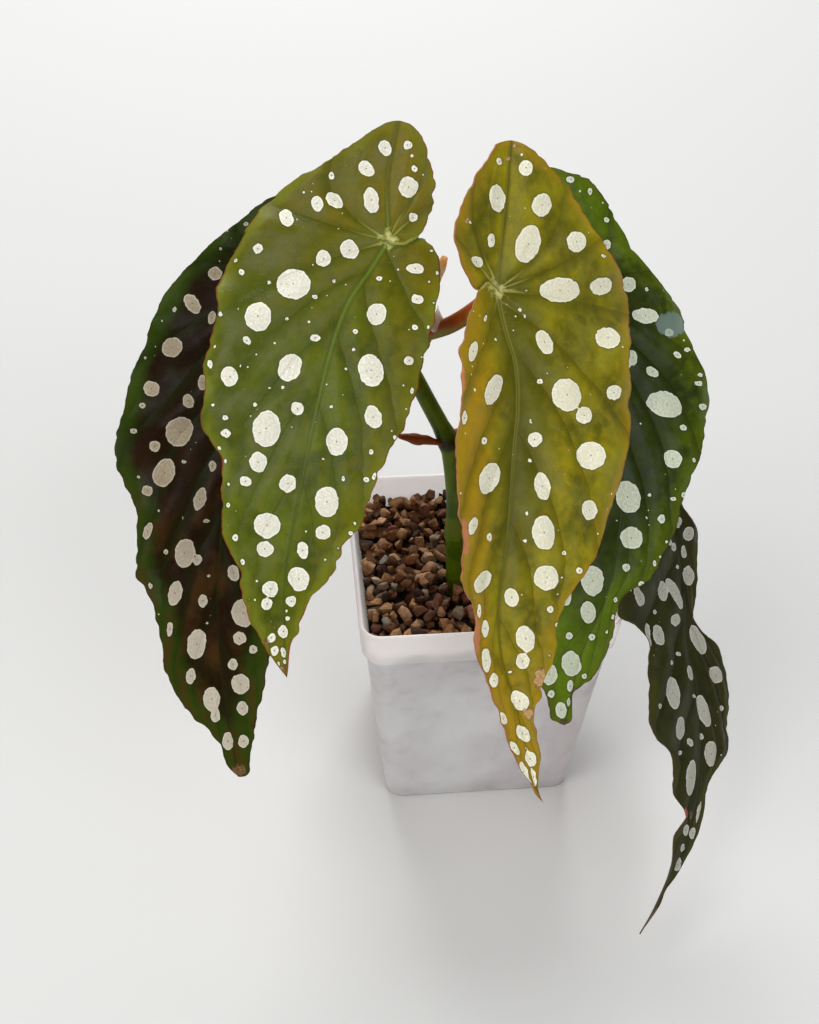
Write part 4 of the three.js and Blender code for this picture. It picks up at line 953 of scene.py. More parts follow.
# Colours of each leaf, upper side and underside, in linear light. A mask is a list of soft steps: [what it
# goes by, from, to, amount].
leafLooks = {
    "left_front": {
        "slot": "olive_blade", "gloss": 0.13, "bump": 0.6,
        "face": {"Deep": (0.042, 0.056, 0.0008), "Light": (0.1, 0.13, 0.003), "Flush": (0.148, 0.11, 0.001),
                 "Band": (0.14, 0.16, 0.008), "Band width": 3.5, "Vein": (0.06, 0.07, 0.002),
                 "Vein strength": 0.3, "Midrib": (0.105, 0.17, 0.012), "Midrib strength": 0.8,
                 "Midrib width": 0.68, "Star": (0.5, 0.5, 0.17), "Ray": (0.3, 0.31, 0.06),
                 "Painted sheen and tint": (0.106, 0.108, 0.032), "Spot": (0.8, 0.77, 0.68),
                 "Spot shade": (0.57, 0.555, 0.45), "Dots": 0.72, "Rim": (0.2, 0.05, 0.01),
                 "Scar": (0.22, 0.11, 0.04),
                 "Flush mask": [("sideShare", 0.1, 1.2, 0.5), ("leafShare", 0.42, -0.25, 0.8),
                                ("leafShare", 0.86, 0.97, 0.9)],
                 "Shade mask": [("sideShare", -0.15, -0.7, 0.4), ("leafShare", 0.35, 0.6, -0.3),
                                ("fromMargin", 5.0, 1.0, -0.4)],
                 "Painted sheen and tint mask": [("sideShare", 0.15, -0.15, 0.5), ("fromMargin", 5.0, 1.0, -0.45)]},
        "back": {"Deep": (0.16, 0.02, 0.012), "Light": (0.32, 0.055, 0.03), "Vein": (0.45, 0.15, 0.08),
                 "Spot": (0.45, 0.2, 0.13), "Rim": (0.3, 0.07, 0.02)},
    },
    "right_front": {
        "slot": "golden_blade", "gloss": 0.12, "bump": 0.6,
        "face": {"Deep": (0.075, 0.072, 0.0008), "Light": (0.3, 0.25, 0.003), "Flush": (0.38, 0.215, 0.002),
                 "Band": (0.32, 0.2, 0.006), "Band width": 4.5, "Vein": (0.08, 0.065, 0.002),
                 "Vein strength": 0.35, "Midrib": (0.28, 0.26, 0.05), "Midrib strength": 0.75,
                 "Midrib width": 0.75, "Midrib split": 0.85, "Star": (0.52, 0.48, 0.17),
                 "Ray": (0.42, 0.38, 0.1), "Painted sheen and tint": (0.19, 0.19, 0.03), "Spot": (0.86, 0.83, 0.7),
                 "Spot shade": (0.64, 0.61, 0.43), "Dots": 0.72, "Rim": (0.28, 0.11, 0.02),
                 "Scar": (0.55, 0.29, 0.14), "Mark": (0.54, 0.175, 0.085), "Mark share": 0.8,
                 "Flush mask": [("sideShare", -0.15, -0.75, 0.85), ("leafShare", 0.55, 0.9, 0.6),
                                ("leafShare", 0.25, 0.0, -0.35), ("leafShare", 0.0, -0.3, -0.5),
                                # the last step is partly the tip's golden flush and partly painted light on
                                # the tip, which faces down
                                ("leafShare", 0.78, 0.92, 0.6)],
                 "Shade mask": [("fromMiddle", 14.0, 2.0, 0.95), ("sideShare", 0.0, -0.25, -0.6),
                                ("leafShare", 0.0, -0.2, -0.85), ("leafShare", 0.35, 0.7, -0.9)],
                 "Painted sheen and tint mask": [("sideShare", -0.6, 0.3, 0.4), ("leafShare", -0.1, -0.4, -0.3)]},
        "back": {"Deep": (0.42, 0.12, 0.05), "Light": (0.58, 0.22, 0.11), "Vein": (0.66, 0.32, 0.17),
                 "Spot": (0.7, 0.4, 0.25), "Rim": (0.32, 0.12, 0.035)},
    },
    "left_rear": {
        "slot": "maroon_blade", "gloss": 0.06, "bump": 0.5,
        "face": {"Deep": (0.009, 0.016, 0.0005), "Light": (0.024, 0.042, 0.001),
                 "Flush": (0.011, 0.0012, 0.0003), "Band": (0.028, 0.052, 0.002), "Band width": 6.5,
                 "Vein": (0.012, 0.008, 0.001), "Vein strength": 0.35, "Midrib": (0.03, 0.022, 0.008),
                 "Midrib strength": 0.6, "Midrib width": 0.7, "Star": (0.2, 0.22, 0.06),
                 "Ray": (0.05, 0.06, 0.015), "Painted sheen and tint": (0.05, 0.022, 0.004), "Spot": (0.4, 0.34, 0.24),
                 "Spot shade": (0.27, 0.22, 0.15), "Dots": 0.45, "Rim": (0.03, 0.013, 0.003),
                 "Scar": (0.16, 0.08, 0.03),
                 "Flush mask": [("fromMargin", 3.0, 9.0, 1.25), ("leafShare", 0.62, 0.95, -0.5),
                                ("leafShare", 0.2, -0.3, -0.8)],
                 "Painted sheen and tint mask": [("leafShare", 0.25, 0.6, 0.7)],
                 "Spot painted light": [("leafShare", 0.4, 0.75, 0.16)]},
        "back": {"Deep": (0.1, 0.012, 0.01), "Light": (0.22, 0.03, 0.02), "Vein": (0.34, 0.09, 0.05),
                 "Spot": (0.34, 0.13, 0.09), "Rim": (0.08, 0.02, 0.008)},
    },
    "right_rear": {
        "slot": "green_blade", "gloss": 0.09, "bump": 0.5,
        "face": {"Deep": (0.013, 0.02, 0.0004), "Light": (0.092, 0.125, 0.001),
                 "Flush": (0.095, 0.16, 0.002), "Band": (0.075, 0.11, 0.002), "Band width": 5.0,
                 "Vein": (0.02, 0.03, 0.001), "Vein strength": 0.35, "Midrib": (0.1, 0.15, 0.02),
                 "Midrib strength": 0.6, "Midrib width": 0.7, "Star": (0.4, 0.42, 0.14),
                 "Ray": (0.12, 0.15, 0.03), "Painted sheen and tint": (0.05, 0.068, 0.04), "Spot": (0.64, 0.66, 0.54),
                 "Spot shade": (0.44, 0.48, 0.35), "Dots": 0.72, "Rim": (0.06, 0.03, 0.004),
                 "Scar": (0.06, 0.025, 0.01), "Mark": (0.16, 0.22, 0.21), "Mark share": 0.62,
                 "Flush mask": [("leafShare", 0.5, 0.85, 0.9), ("leafShare", 0.0, -0.6, 0.6)],
                 "Shade mask": [("fromMargin", 3.0, 14.0, 0.75), ("leafShare", 0.1, -0.3, -0.4),
                                ("leafShare", 0.6, 0.85, -0.6)],
                 "Painted sheen and tint mask": [("fromMargin", 4.0, 10.0, 0.4), ("leafShare", 0.65, 0.85, -0.4)]},
        "back": {"Deep": (0.13, 0.016, 0.012), "Light": (0.27, 0.04, 0.025), "Vein": (0.4, 0.12, 0.06),
                 "Spot": (0.4, 0.17, 0.11), "Rim": (0.12, 0.03, 0.008)},
    },
    "low_right": {
        "slot": "dusky_blade", "gloss": 0.08, "bump": 0.5,
        "face": {"Deep": (0.013, 0.014, 0.002), "Light": (0.03, 0.031, 0.006),
                 "Flush": (0.026, 0.021, 0.003), "Band": (0.045, 0.045, 0.006), "Band width": 4.0,
                 "Vein": (0.015, 0.014, 0.003), "Vein strength": 0.3, "Midrib": (0.05, 0.05, 0.015),
                 "Midrib strength": 0.5, "Midrib width": 0.6, "Star": (0.25, 0.25, 0.08),
                 "Ray": (0.06, 0.06, 0.02), "Spot": (0.4, 0.39, 0.33), "Spot shade": (0.3, 0.29, 0.24),
                 "Dots": 0.45, "Rim": (0.03, 0.02, 0.004), "Scar": (0.14, 0.09, 0.05),
                 "Flush mask": [("sideShare", 0.0, 1.0, 0.6)]},
        "back": {"Deep": (0.11, 0.014, 0.011), "Light": (0.23, 0.035, 0.022), "Vein": (0.36, 0.1, 0.06),
                 "Spot": (0.36, 0.14, 0.09), "Rim": (0.08, 0.02, 0.006)},
    },
}


def makeLeaves():
    face, back = makeBladeFace(), makeBladeBack()
    for seed, (name, leaf) in enumerate(leaves.items(), start=1):
        look = leafLooks[name]
        blade = makeBlade(name, leaf, seed * 11)
        upper = leafMaterial(name + "_face", face, look["face"], look["bump"], look["gloss"])
        under = leafMaterial(name + "_back", back, look["back"],
                             bladeCommon["backBump"], bladeCommon["backGloss"])
        rim = rimMaterial(name + "_rim", look["back"]["Rim"], look["face"]["Rim"])
        finishPiece(blade, look["slot"], "leaf_" + name, upper, under, rim)
        print("leaf", name, len(blade.data.polygons), "faces")


# Pot: square with round corners, drawn upwards from its foot, over the lip and down inside
pot = {
    "height": 72, "baseHalf": 26.7, "bodyTopHalf": 33.1, "rimHalf": 34.2, "mouthHalf": 35, "rimHeight": 10,
    "edge": 0.8, "cornerBase": 5, "cornerTop": 6, "wall": 1.2, "lip": 1.5, "floor": 1.6,
    "bodyRings": (8, 20, 32, 44, 54, 59, 60.4), "drainRadius": 3, "drainOut": 17, "drainSides": 24,
    "cornerSteps": 10, "sideSteps": 8,
    "white": (0.85, 0.795, 0.775), "paintedShade": (0.58, 0.52, 0.515), "smudge": (0.42, 0.39, 0.4),
    "rimPaintedShade": (0.65, 0.62, 0.605), "inside": (0.99, 0.97, 0.93),
}


def squareRing(half, corner, z):
    def onCorner(turn, angle):
        middle = Vector((half - corner, half - corner))
        middle.rotate(Matrix.Rotation(math.pi / 2 * turn, 2))
        return Vector((middle.x + corner * math.cos(angle), middle.y + corner * math.sin(angle), z))

    ring = []
    steps, sideSteps = pot["cornerSteps"], pot["sideSteps"]
    for turn in range(4):
        angle = math.pi / 2 * turn
        ring += [onCorner(turn, angle + math.pi / 2 * step / steps) for step in range(steps + 1)]
        start, end = ring[-1], onCorner(turn + 1, angle + math.pi / 2)
        ring += [start.lerp(end, step / sideSteps) for step in range(1, sideSteps)]
    return ring


def potSections():
    # [half width, corner radius, height] up the outside and down the inside
    base, rim, mouth, edge, wall, lip, low, high, level = (pot[key] for key in (
        "baseHalf", "rimHalf", "mouthHalf", "edge", "wall", "lip", "cornerBase", "cornerTop", "floor"))
    foot = pot["height"] - pot["rimHeight"]
    bodyHalf = lambda z: base + (pot["bodyTopHalf"] - base) * z / foot
    inner = mouth - lip
    outside = [(base - edge, low - edge, 0), (base - 0.35 * edge, low - 0.3, 0.25),
               (bodyHalf(edge), low, edge)]
    outside += [(bodyHalf(z), low + z / foot * (high - low), z) for z in pot["bodyRings"]]
    outside += [(pot["bodyTopHalf"] + 0.15, high, 61.3), (rim - 0.25, high, 61.8), (rim, high, 62.4),
                (mouth - 0.1, high, 70.6), (mouth - 0.05, high, 71.2), (mouth - 0.3, high - 0.3, 71.8),
                (mouth - 0.7, high - 0.7, 72), (inner + 0.35, high - 1.2, 71.9),
                (inner + 0.02, high - lip, 71.4)]
    inside = [(inner - 0.05, high - lip, 66), (bodyHalf(foot) - wall, high - lip, 62),
              (bodyHalf(30) - wall, high - lip, 30), (bodyHalf(level) - wall, low - wall, level)]
    return outside + inside


def makePot():
    sections = potSections()
    bm = bmesh.new()
    first = [bm.verts.new(v * mm) for v in squareRing(*sections[0])]
    edges = [bm.edges.new((first[k], first[(k + 1) % len(first)])) for k in range(len(first))]
    footEdges = edges
    angle = lambda v: math.atan2(v.y, v.x) % (2 * math.pi)
    for section in sections[1:]:
        grown = bmesh.ops.extrude_edge_only(bm, edges=edges)["geom"]
        verts = [g for g in grown if isinstance(g, bmesh.types.BMVert)]
        edges = [g for g in grown if isinstance(g, bmesh.types.BMEdge)]
        ring = sorted(squareRing(*section), key=angle)
        for vert, place in zip(sorted(verts, key=lambda v: angle(v.co)), ring):
            vert.co = place * mm
    bottoms = []
    for rim, z in ((footEdges, 0.0), (edges, pot["floor"])):
        holes = []
        for x in (-1, 1):
            for y in (-1, 1):
                place = Matrix.Translation(Vector((x * pot["drainOut"], y * pot["drainOut"], z)) * mm)
                circle = bmesh.ops.create_circle(
                    bm, segments=pot["drainSides"], radius=pot["drainRadius"] * mm, matrix=place)
                holes.append(list({e for v in circle["verts"] for e in v.link_edges}))
        bottoms.append(holes)
        bmesh.ops.triangle_fill(bm, use_beauty=True, edges=rim + [e for hole in holes for e in hole])
    for lower, upper in zip(*bottoms):
        bmesh.ops.bridge_loops(bm, edges=lower + upper)
    bmesh.ops.recalc_face_normals(bm, faces=bm.faces)
    piece = objectFrom(bm, "moulded_pot")
    smoothFaces(piece, 35)
    finishPiece(piece, "pot_plastic", "pot", potPlastic())
    print("pot", len(piece.data.polygons), "faces")


def potPlastic():
    # painted shade over the body, darker to the right and towards the foot and broken into clouds; painted
    # shade on the rim, and painted light on the inside
    mat, tree, shader = newMaterial("pot_plastic_finish")
    place = placeIn(tree)
    across, height = (axisOf(place, axis) / mm for axis in (0, 2))
    clouds = speckle(place, 70.0, 1.0, 0.4)
    smudge = speckle(place, 260.0, 1.0, 0.4)
    # painted shade: darker to the right and towards the foot, broken up by clouds
    paintedShade = fromTo(across, -22.0, 30.0, 0.0, 0.6) + fromTo(height, 50.0, 5.0, 0.0, 0.35)
    paintedShade = clamped(paintedShade + fromTo(clouds, 0.3, 0.7, -0.2, 0.3))
    colour = mixColour(paintedShade, pot["white"], pot["paintedShade"])
    darker = fromTo(smudge, 0.42, 0.86) * fromTo(clouds, 0.35, 0.6, 0.1, 0.36)
    colour = mixColour(darker, colour, pot["smudge"])
    # painted shade on the outer rim and painted light on the inside, told apart by which way the wall faces
    normal = out(put("NewGeometry", tree=tree), "Normal")
    outward = out(put("VectorMath", {0: place, 1: normal}, operation="DOT_PRODUCT"), "Value")
    rimAndInsideLight = mixColour(fromTo(outward, 0.01, -0.01), pot["rimPaintedShade"], pot["inside"])
    colour = mixColour(fromTo(height, 60.5, 62.5), colour, rimAndInsideLight)
    relief = clouds * 0.4 + speckle(place, 2200.0, 2.0) * 0.05
    give(shader, {
        "Base Color": colour, "Normal": bumpOf(relief, 0.25),
        "Roughness": fromTo(smudge, 0.3, 0.7, 0.38, 0.5),
        "Specular IOR Level": 0.4, "Subsurface Weight": 0.8, "Subsurface Radius": (1.0, 0.95, 0.9),
        "Subsurface Scale": 9 * mm,
    })
    return mat


# Growing mix: a dark bed with layers of broken granules on it
mix = {
    "seed": 31, "bedTop": 60.2, "bedHalf": 31.7, "bottom": 1.9, "bottomHalf": 25.4, "bedCorner": 4,
    "wallFoot": 25.4, "wallSlope": 0.103, "spread": 33, "pitch": 3.7, "scatter": 2.2, "jitter": 1.7,
    "reach": 32.3, "round": 5, "sizes": (1.4, 2.5), "corners": 17, "stemRoom": 1.4,
    "stretch": ((0.8, 1.45), (0.75, 1.05), (0.6, 1.0)),
    "layers": [{"height": 60.5, "chance": 1.0}, {"height": 63.0, "chance": 1.0},
               {"height": 65.2, "chance": 0.66}],
    "frontDrop": -0.8, "backRise": 2.6, "footRise": 2.4, "footSpread": 60, "foot": (-7, -6.4),
    "tones": [(0.0, (0.012, 0.006, 0.003)), (0.12, (0.03, 0.014, 0.007)), (0.25, (0.13, 0.055, 0.02)),
              (0.45, (0.3, 0.145, 0.055)), (0.68, (0.46, 0.26, 0.12)), (0.8, (0.17, 0.055, 0.035)),
              (0.88, (0.5, 0.3, 0.15)), (0.96, (0.24, 0.25, 0.19)), (1.0, (0.56, 0.38, 0.23))],
}


def granuleSpot(level, row, column):
    # where a granule lies, and its size; None where it is left out
    layer, spread = mix["layers"][level], mix["spread"]
    x, y = (-spread + mix["pitch"] * (k + 0.5 * (level % 2)) + mix["scatter"] * (random.random() - 0.5)
            for k in (column + 0.5 * (row % 2), row))
    size = random.uniform(*mix["sizes"])
    z = layer["height"] + mix["frontDrop"] * (0.5 - y / spread) * 0.7
    z += mix["jitter"] * (random.random() - 0.5)
    z += mix["backRise"] * float(stepUp(y, 12, 30))
    footX, footY = mix["foot"]
    z += mix["footRise"] * math.exp(-((x - footX) ** 2 + (y - footY) ** 2) / mix["footSpread"])
    keep = random.random() < layer["chance"]
    reach = mix["reach"] - 0.95 * size + 0.07 * (z - 62)
    x, y = (math.copysign(min(abs(c), reach), c) for c in (x, y))
    corner = sum(max(abs(c) - reach + mix["round"], 0) ** 2 for c in (x, y))
    inStem = math.hypot(x - footX, y - footY) < size + mix["stemRoom"]
    if not keep or corner > mix["round"] ** 2 or inStem:
        random.random()
        return None
    return Vector((x, y, z)), size


def addGranule(bm, tone, middle, size):
    # the hull of a few random points, kept inside the pot's walls
    stretch = Vector([random.uniform(*span) for span in mix["stretch"]])
    turn = Matrix.Rotation(random.uniform(0, 6.28), 3, "Z")
    turn = turn @ Matrix.Rotation(random.uniform(-0.7, 0.7), 3, "X")
    points = []
    for _ in range(mix["corners"]):
        way = Vector([random.gauss(0, 1) for _ in range(3)]).normalized()
        way *= size * random.uniform(0.82, 1.05)
        place = turn @ Vector([way[k] * stretch[k] for k in range(3)]) + middle
        wall = mix["wallFoot"] + mix["wallSlope"] * place.z
        place.x, place.y = (max(-wall, min(wall, c)) for c in (place.x, place.y))
        points.append(bm.verts.new(place * mm))
    value = random.random()
    for vert in points:
        vert[tone] = 0.1 + 0.9 * value
    hull = bmesh.ops.convex_hull(bm, input=points)
    bmesh.ops.delete(bm, geom=list({*hull["geom_interior"], *hull["geom_unused"]}), context="VERTS")


def makeSubstrate():
    random.seed(mix["seed"])
    bm = bmesh.new()
    tone = bm.verts.layers.float.new("tone")
    for vert in bmesh.ops.create_cube(bm, size=1.0)["verts"]:
        half, z = mix["bottomHalf"], mix["bottom"]
        if vert.co.z > 0:
            half, z = mix["bedHalf"], mix["bedTop"] + (mix["backRise"] if vert.co.y > 0 else 0)
        vert.co = Vector((math.copysign(half, vert.co.x), math.copysign(half, vert.co.y), z)) * mm
        vert[tone] = 0.02
    upright = [e for e in bm.edges if abs(e.verts[0].co.z - e.verts[1].co.z) > 1 * mm]
    bmesh.ops.bevel(bm, geom=upright, offset=mix["bedCorner"] * mm, affect="EDGES", segments=4, profile=0.5,
                    material=-1)
    steps = int(2 * mix["spread"] / mix["pitch"]) + 1
    count = 0
    for level in range(len(mix["layers"])):
        for row in range(steps):
            for column in range(steps):
                granule = granuleSpot(level, row, column)
                if granule:
                    addGranule(bm, tone, *granule)
                    count += 1
    piece = objectFrom(bm, "growing_mix")
    smoothFaces(piece, 50)
    finishPiece(piece, "granules", "substrate", granuleStone())
    print("growing mix", count, "granules", len(piece.data.polygons), "faces")


def granuleStone():
    mat, tree, shader = newMaterial("granule_stone")
    place = placeIn(tree)
    ramp = put("ValToRGB", {"Fac": valueOf(tree, "tone")})
    points = ramp.color_ramp.elements
    points[0].position, points[1].position = mix["tones"][0][0], mix["tones"][-1][0]
    for position, _ in mix["tones"][1:-1]:
        points.new(position)
    for point, (_, colour) in zip(points, mix["tones"]):
        point.color = (*colour, 1)
    grit = speckle(place, 900.0, 4.0, 0.65)
    colour = mixColour(fromTo(grit, 0.35, 0.7, 0.0, 0.6), out(ramp), (0.05, 0.025, 0.012))
    blotch = speckle(place, 260.0, 2.0)
    colour = mixColour(fromTo(blotch, 0.5, 0.75, 0.0, 0.4), colour, (0.34, 0.24, 0.15))
    # painted shade: darker further down, in the gaps under the top granules
    colour = mixColour(fromTo(axisOf(place, 2) / mm, 59.8, 63.6, 0.9, 0.0), colour, (0.006, 0.003, 0.002))
    give(shader, {"Base Color": colour, "Roughness": 0.85, "Specular IOR Level": 0.2,
                  "Normal": bumpOf(grit, 0.6, 0.5)})
    return mat


# Stem and stalks: tubes swept along their middle lines, with a ring at each node. A stalk starts at the
# stem's point "from", and ends pressed flat under its blade.
cane = {
    "line": [(-5.4, -5.2, 34, 2.6), (-6.5, -6, 63.6, 2.6), (-7.5, -7, 80, 2.4), (-7.7, -7.4, 84.5, 2.8),
             (-7.9, -7.6, 89, 2.3), (-8.3, -7.4, 98, 2.2), (-9.6, -6.6, 109.5, 2.3),
             (-10.4, -6.4, 113.6, 2.9), (-12.2, -5.6, 117.5, 2.3), (-15.1, -4.6, 123.3, 2.2),
             (-19.6, -3.4, 132.5, 2.1), (-21.2, -3.3, 135.6, 2.7), (-20.4, -3.6, 138.6, 2.1),
             (-18.1, -5.4, 142.8, 2), (-17.3, -6.1, 145.4, 2.6), (-17, -6.5, 148, 1.9),
             (-16.8, -6.6, 152.7, 2.1), (-16.2, -6.2, 155.5, 1.5)],
    "sides": 24, "rings": 150, "nodeRing": 0.16, "nodes": [3, 7, 11, 14], "stalkSides": 20, "stalkRings": 60,
    "seat": 0.3, "green": (0.052, 0.112, 0.0006), "lightGreen": (0.1, 0.18, 0.001),
    "fresh": (0.13, 0.165, 0.001), "node": (0.02, 0.01, 0.001), "streak": (0.16, 0.2, 0.02),
    "stalkUnder": (0.19, 0.18, 0.018), "stalkRed": (0.34, 0.085, 0.005), "stalkDark": (0.2, 0.036, 0.002),
}
stalks = {
    "left_front": {"from": 16, "bend": [(-21, -4.6, 162)], "radius": (1.9, 1.7)},
    "right_front": {"from": 14, "bend": [(-11.5, -10.8, 150.4), (-6.2, -13.2, 155.8)], "radius": (2.1, 2)},
    "left_rear": {"from": 11, "bend": [(-28, 2.5, 142), (-38.5, 10, 148)], "radius": (2.2, 1.9)},
    "right_rear": {"from": 7, "bend": [(-3.5, -2.5, 113.8), (6, 3.5, 126), (14.5, 8.5, 143)],
                   "radius": (2.2, 1.9)},
    "low_right": {"from": 3, "bend": [(4, -4.5, 96), (22, -1.5, 103), (41, 1, 98)], "radius": (2.2, 1.8)},
}


def sweep(name, track, radii, sides):
    # a tube along points, closed at both ends, drawn out ring by ring
    points = [Vector(p) for p in track]
    bm = bmesh.new()
    share = bm.verts.layers.float.new("alongShare")
    bmesh.ops.create_circle(bm, cap_ends=True, segments=sides, radius=1.0)
    faces = list(bm.faces)
    ring = sorted(bm.verts, key=lambda v: math.atan2(v.co.y, v.co.x))
    side = (points[1] - points[0]).orthogonal().normalized()
    last = len(points) - 1
    for k, point in enumerate(points):
        ahead = (points[min(k + 1, last)] - points[max(k - 1, 0)]).normalized()
        side = (side - ahead * side.dot(ahead)).normalized()
        other = ahead.cross(side)
        if k:
            grown = bmesh.ops.extrude_face_region(bm, geom=faces)["geom"]
            faces = [g for g in grown if isinstance(g, bmesh.types.BMFace)]
            cap = set(faces[0].verts)
            ring = [next(e.other_vert(v) for e in v.link_edges if e.other_vert(v) in cap) for v in ring]
        for step, vert in enumerate(ring):
            angle = 2 * math.pi * step / sides
            outward = side * math.cos(angle) + other * math.sin(angle)
            vert.co = (point + outward * radii[k]) * mm
            vert[share] = k / last
    bmesh.ops.recalc_face_normals(bm, faces=bm.faces)
    piece = objectFrom(bm, name)
    smoothFaces(piece, 60)
    return piece


def makeStem():
    line = np.array(cane["line"])
    shares = np.linspace(0, 1, cane["rings"])
    track = alongPoints(line[:, :3])(shares)
    # the radius follows the given points, and swells in a thin ring at each node
    marks = [float(shares[np.argmin(np.linalg.norm(track - p, axis=1))]) for p in line[:, :3]]
    radii = np.interp(shares, marks, line[:, 3])
    for node in cane["nodes"]:
        away = np.linalg.norm(track - line[node, :3], axis=1)
        radii += cane["nodeRing"] * np.exp(-((away - 1.6) / 0.45) ** 2) * (track[:, 2] < line[node, 2])
    stem = sweep("cane_stem", track, radii, cane["sides"])
    finishPiece(stem, "green_stem", "stem", stemSkin())
    for name, stalk in stalks.items():
        attach, along, side, facing, length = bladeFrame(leaves[name])
        points = [line[stalk["from"], :3], *stalk["bend"], attach - 0.2 * facing]
        shares = np.linspace(0, 1, cane["stalkRings"])
        first, second = stalk["radius"]
        radii = np.interp(shares, [0, 0.06, 0.85, 1], [1.25 * first, first, second, 1.1 * second])
        track = alongPoints(np.array(points, float))(shares)
        tube = sweep("leaf_stalk_" + name, track, radii, cane["stalkSides"])
        for vert in tube.data.vertices:
            away = np.array(vert.co) / mm - attach
            over = away @ facing - reliefOf(leaves[name], length, away @ along, away @ side) + cane["seat"]
            if over > 0:
                vert.co -= Vector(facing * over * mm)
        finishPiece(tube, "red_stalk", "stalk_" + name, stalkSkin("stalk_skin_" + name))
    print("stem and", len(stalks), "stalks done")


def skinMaterial(name):
    # what stem and stalks share: long streaks and soft blotches
    mat, tree, shader = newMaterial(name)
    place = placeIn(tree)
    streak = out(put("Mapping", {"Vector": place, "Scale": (900.0, 900.0, 120.0)}))
    return mat, tree, shader, place, speckle(streak, 1.0), speckle(place, 160.0, 2.0)


def finishSkin(shader, colour, lines, blotch):
    colour = mixColour(fromTo(lines, 0.55, 0.85, 0.0, 0.2), colour, cane["streak"])
    give(shader, {"Base Color": colour, "Roughness": fromTo(blotch, 0.3, 0.7, 0.3, 0.42),
                  "Normal": bumpOf(lines, 0.35, 0.2), "Specular IOR Level": 0.18})


def stemSkin():
    # green, fresh and lighter over the lowest node, and dark at the others with painted shade in the crease
    # where the stem bends
    mat, _, shader, place, lines, blotch = skinMaterial("green_stem_skin")
    height = axisOf(place, 2) / mm
    colour = mixColour(fromTo(blotch, 0.35, 0.65), cane["green"], cane["lightGreen"])
    levels = [cane["line"][node][2] for node in cane["nodes"]]
    colour = mixColour(fromTo(abs(height - (levels[0] + 2.5)), 0.5, 4.5, 0.7, 0.0), colour, cane["fresh"])
    # painted shade in the crease at each higher node
    for level in levels[1:]:
        colour = mixColour(fromTo(abs(height - level), 0.6, 2.8, 0.9, 0.0), colour, cane["node"])
    finishSkin(shader, colour, lines, blotch)
    return mat


def stalkSkin(name):
    # red-brown above, green below
    mat, tree, shader, _, lines, blotch = skinMaterial(name)
    upward = axisOf(out(put("NewGeometry", tree=tree), "Normal"), 2)
    share = fromTo(upward + stray(blotch, 0.25), -0.3, 0.25)
    red = mixColour(lines, cane["stalkRed"], cane["stalkDark"])
    finishSkin(shader, mixColour(share, cane["stalkUnder"], red), lines, blotch)
    return mat


# Sheaths at the nodes
sheaths = {
    "bud_sheath": {
        "from": (-16, -6, 155.2), "to": (-12.7, -4.8, 165.2), "width": 3.2, "thickness": 2.8,
        "girths": [(0, 0.7), (0.2, 0.8), (0.45, 0.72), (0.65, 0.7), (0.85, 0.8), (0.95, 0.74), (1, 0.5)],
        "slot": "papery_sheath", "low": (0.95, 0.91, 0.74), "high": (0.99, 0.97, 0.88),
        "end": (0.95, 0.76, 0.44), "endFrom": 0.72, "wrinkle": 0.14, "glow": 0.85,
        "rough": 0.6, "gloss": 0.3,
    },
    "clear_stipule": {
        "from": (-14.5, -9.2, 146.7), "to": (-14.5, -9.3, 154.8), "width": 3.8, "thickness": 3.5,
        "girths": [(0, 0.5), (0.07, 0.85), (0.2, 1), (0.42, 0.94), (0.58, 0.74), (0.68, 0.38), (0.77, 0.13),
                   (1, 0.05)],
        "slot": "clear_sheath", "low": (0.86, 0.82, 0.7), "high": (0.95, 0.93, 0.86),
        "end": (0.95, 0.94, 0.88), "endFrom": 0.8, "wrinkle": 0.03, "glow": 0.45,
        "rough": 0.12, "gloss": 0.8,
    },
    "dry_stipule": {
        "from": (-11.5, -7.4, 113.4), "to": (-23.4, -12.3, 119.6), "width": 3.2, "thickness": 2.8,
        "girths": [(0, 0.45), (0.3, 0.6), (0.55, 0.9), (0.78, 1), (0.92, 0.85), (1, 0.4)],
        "slot": "dry_sheath", "low": (0.1, 0.016, 0.004), "high": (0.45, 0.12, 0.015),
        "end": (0.06, 0.012, 0.003), "endFrom": 0.9, "wrinkle": 0.2, "glow": 0.2,
        "rough": 0.6, "gloss": 0.3,
    },
}


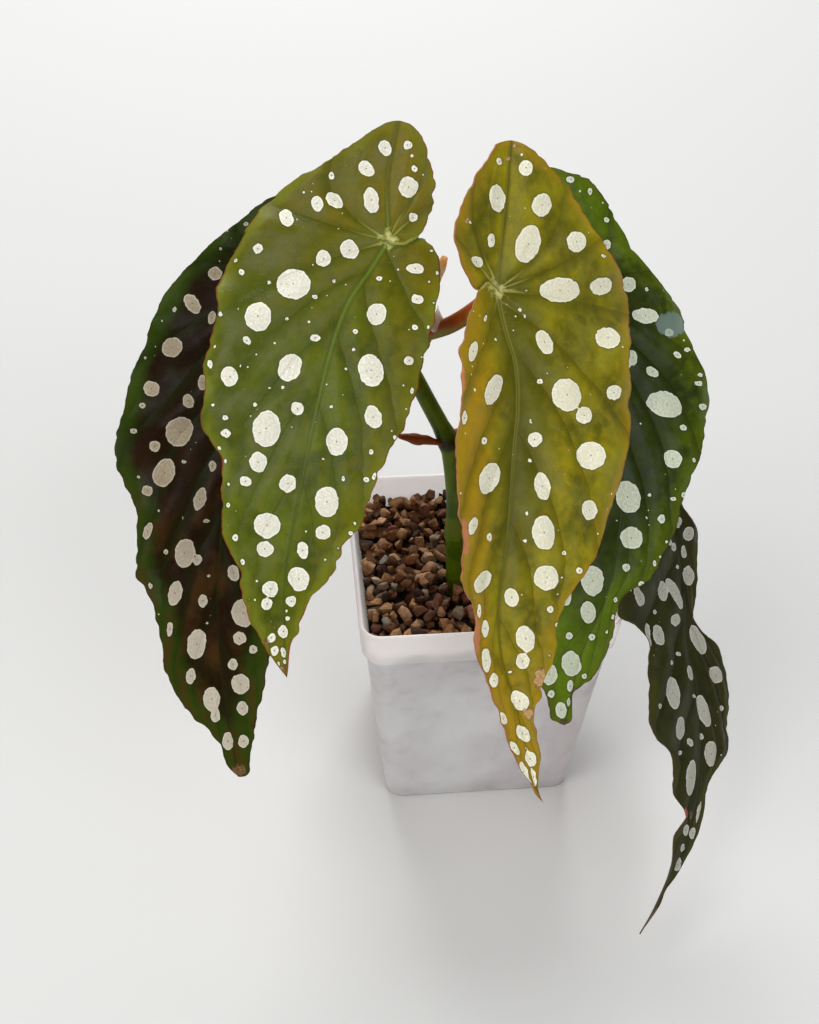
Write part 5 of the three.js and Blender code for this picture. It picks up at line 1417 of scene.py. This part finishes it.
def sheathSkin(name, sheath):
    mat, tree, shader = newMaterial(name + "_finish")
    place = placeIn(tree)
    grain = speckle(place, 1400.0, 4.0, 0.6)
    dried = valueOf(tree, "alongShare") + stray(speckle(place, 500.0), 0.15)
    dried = fromTo(dried, sheath["endFrom"], sheath["endFrom"] + 0.2, 0.0, 0.85)
    colour = mixColour(dried, mixColour(grain, sheath["low"], sheath["high"]), sheath["end"])
    give(shader, {"Base Color": colour, "Roughness": sheath["rough"], "Specular IOR Level": sheath["gloss"],
                  "Normal": bumpOf(grain, 0.5, 0.2)})
    # thin enough for light from behind to come through
    through = put("BsdfTranslucent", {"Color": colour})
    both = put("MixShader", {0: sheath["glow"], 1: out(shader), 2: out(through)})
    if name == "clear_stipule":
        # a film: seen through in the middle, milky at its rim
        edgeOn = out(put("LayerWeight", {"Blend": 0.5}, tree), "Facing")
        clear = put("BsdfTransparent", tree=tree)
        both = put("MixShader", {0: fromTo(edgeOn, 0.1, 0.75, 0.4, 0.95), 1: out(clear), 2: out(both)})
    give(tree.nodes["Material Output"], {"Surface": out(both)})
    return mat


def makeSheaths():
    for seed, (name, sheath) in enumerate(sheaths.items(), start=1):
        start, end = Vector(sheath["from"]), Vector(sheath["to"])
        shares = np.linspace(0, 1, 40)
        track = [start.lerp(end, s) for s in shares]
        girths = alongPoints(np.array(sheath["girths"]))(shares)[:, 1]
        piece = sweep(name + "_skin", track, np.maximum(girths, 0.08) * sheath["width"] / 2, 20)
        along = (end - start).normalized()
        flat = Vector((0, 0, 1)).cross(along).normalized().cross(along)
        for vert in piece.data.vertices:
            away = vert.co / mm - start
            crinkle = noise.noise(Vector((away.dot(along) * 0.35, away.angle(flat, 0.0) * 2.4, seed * 9)))
            vert.co += flat * (away.dot(flat) * (sheath["thickness"] / sheath["width"] - 1)) * mm
            vert.co += (away - along * away.dot(along)) * sheath["wrinkle"] * crinkle * mm
        finishPiece(piece, sheath["slot"], name, sheathSkin(name, sheath))
    print(len(sheaths), "sheaths done")


makeCamera()
makeStudio()
makeLeaves()
makePot()
makeSubstrate()
makeStem()
makeSheaths()
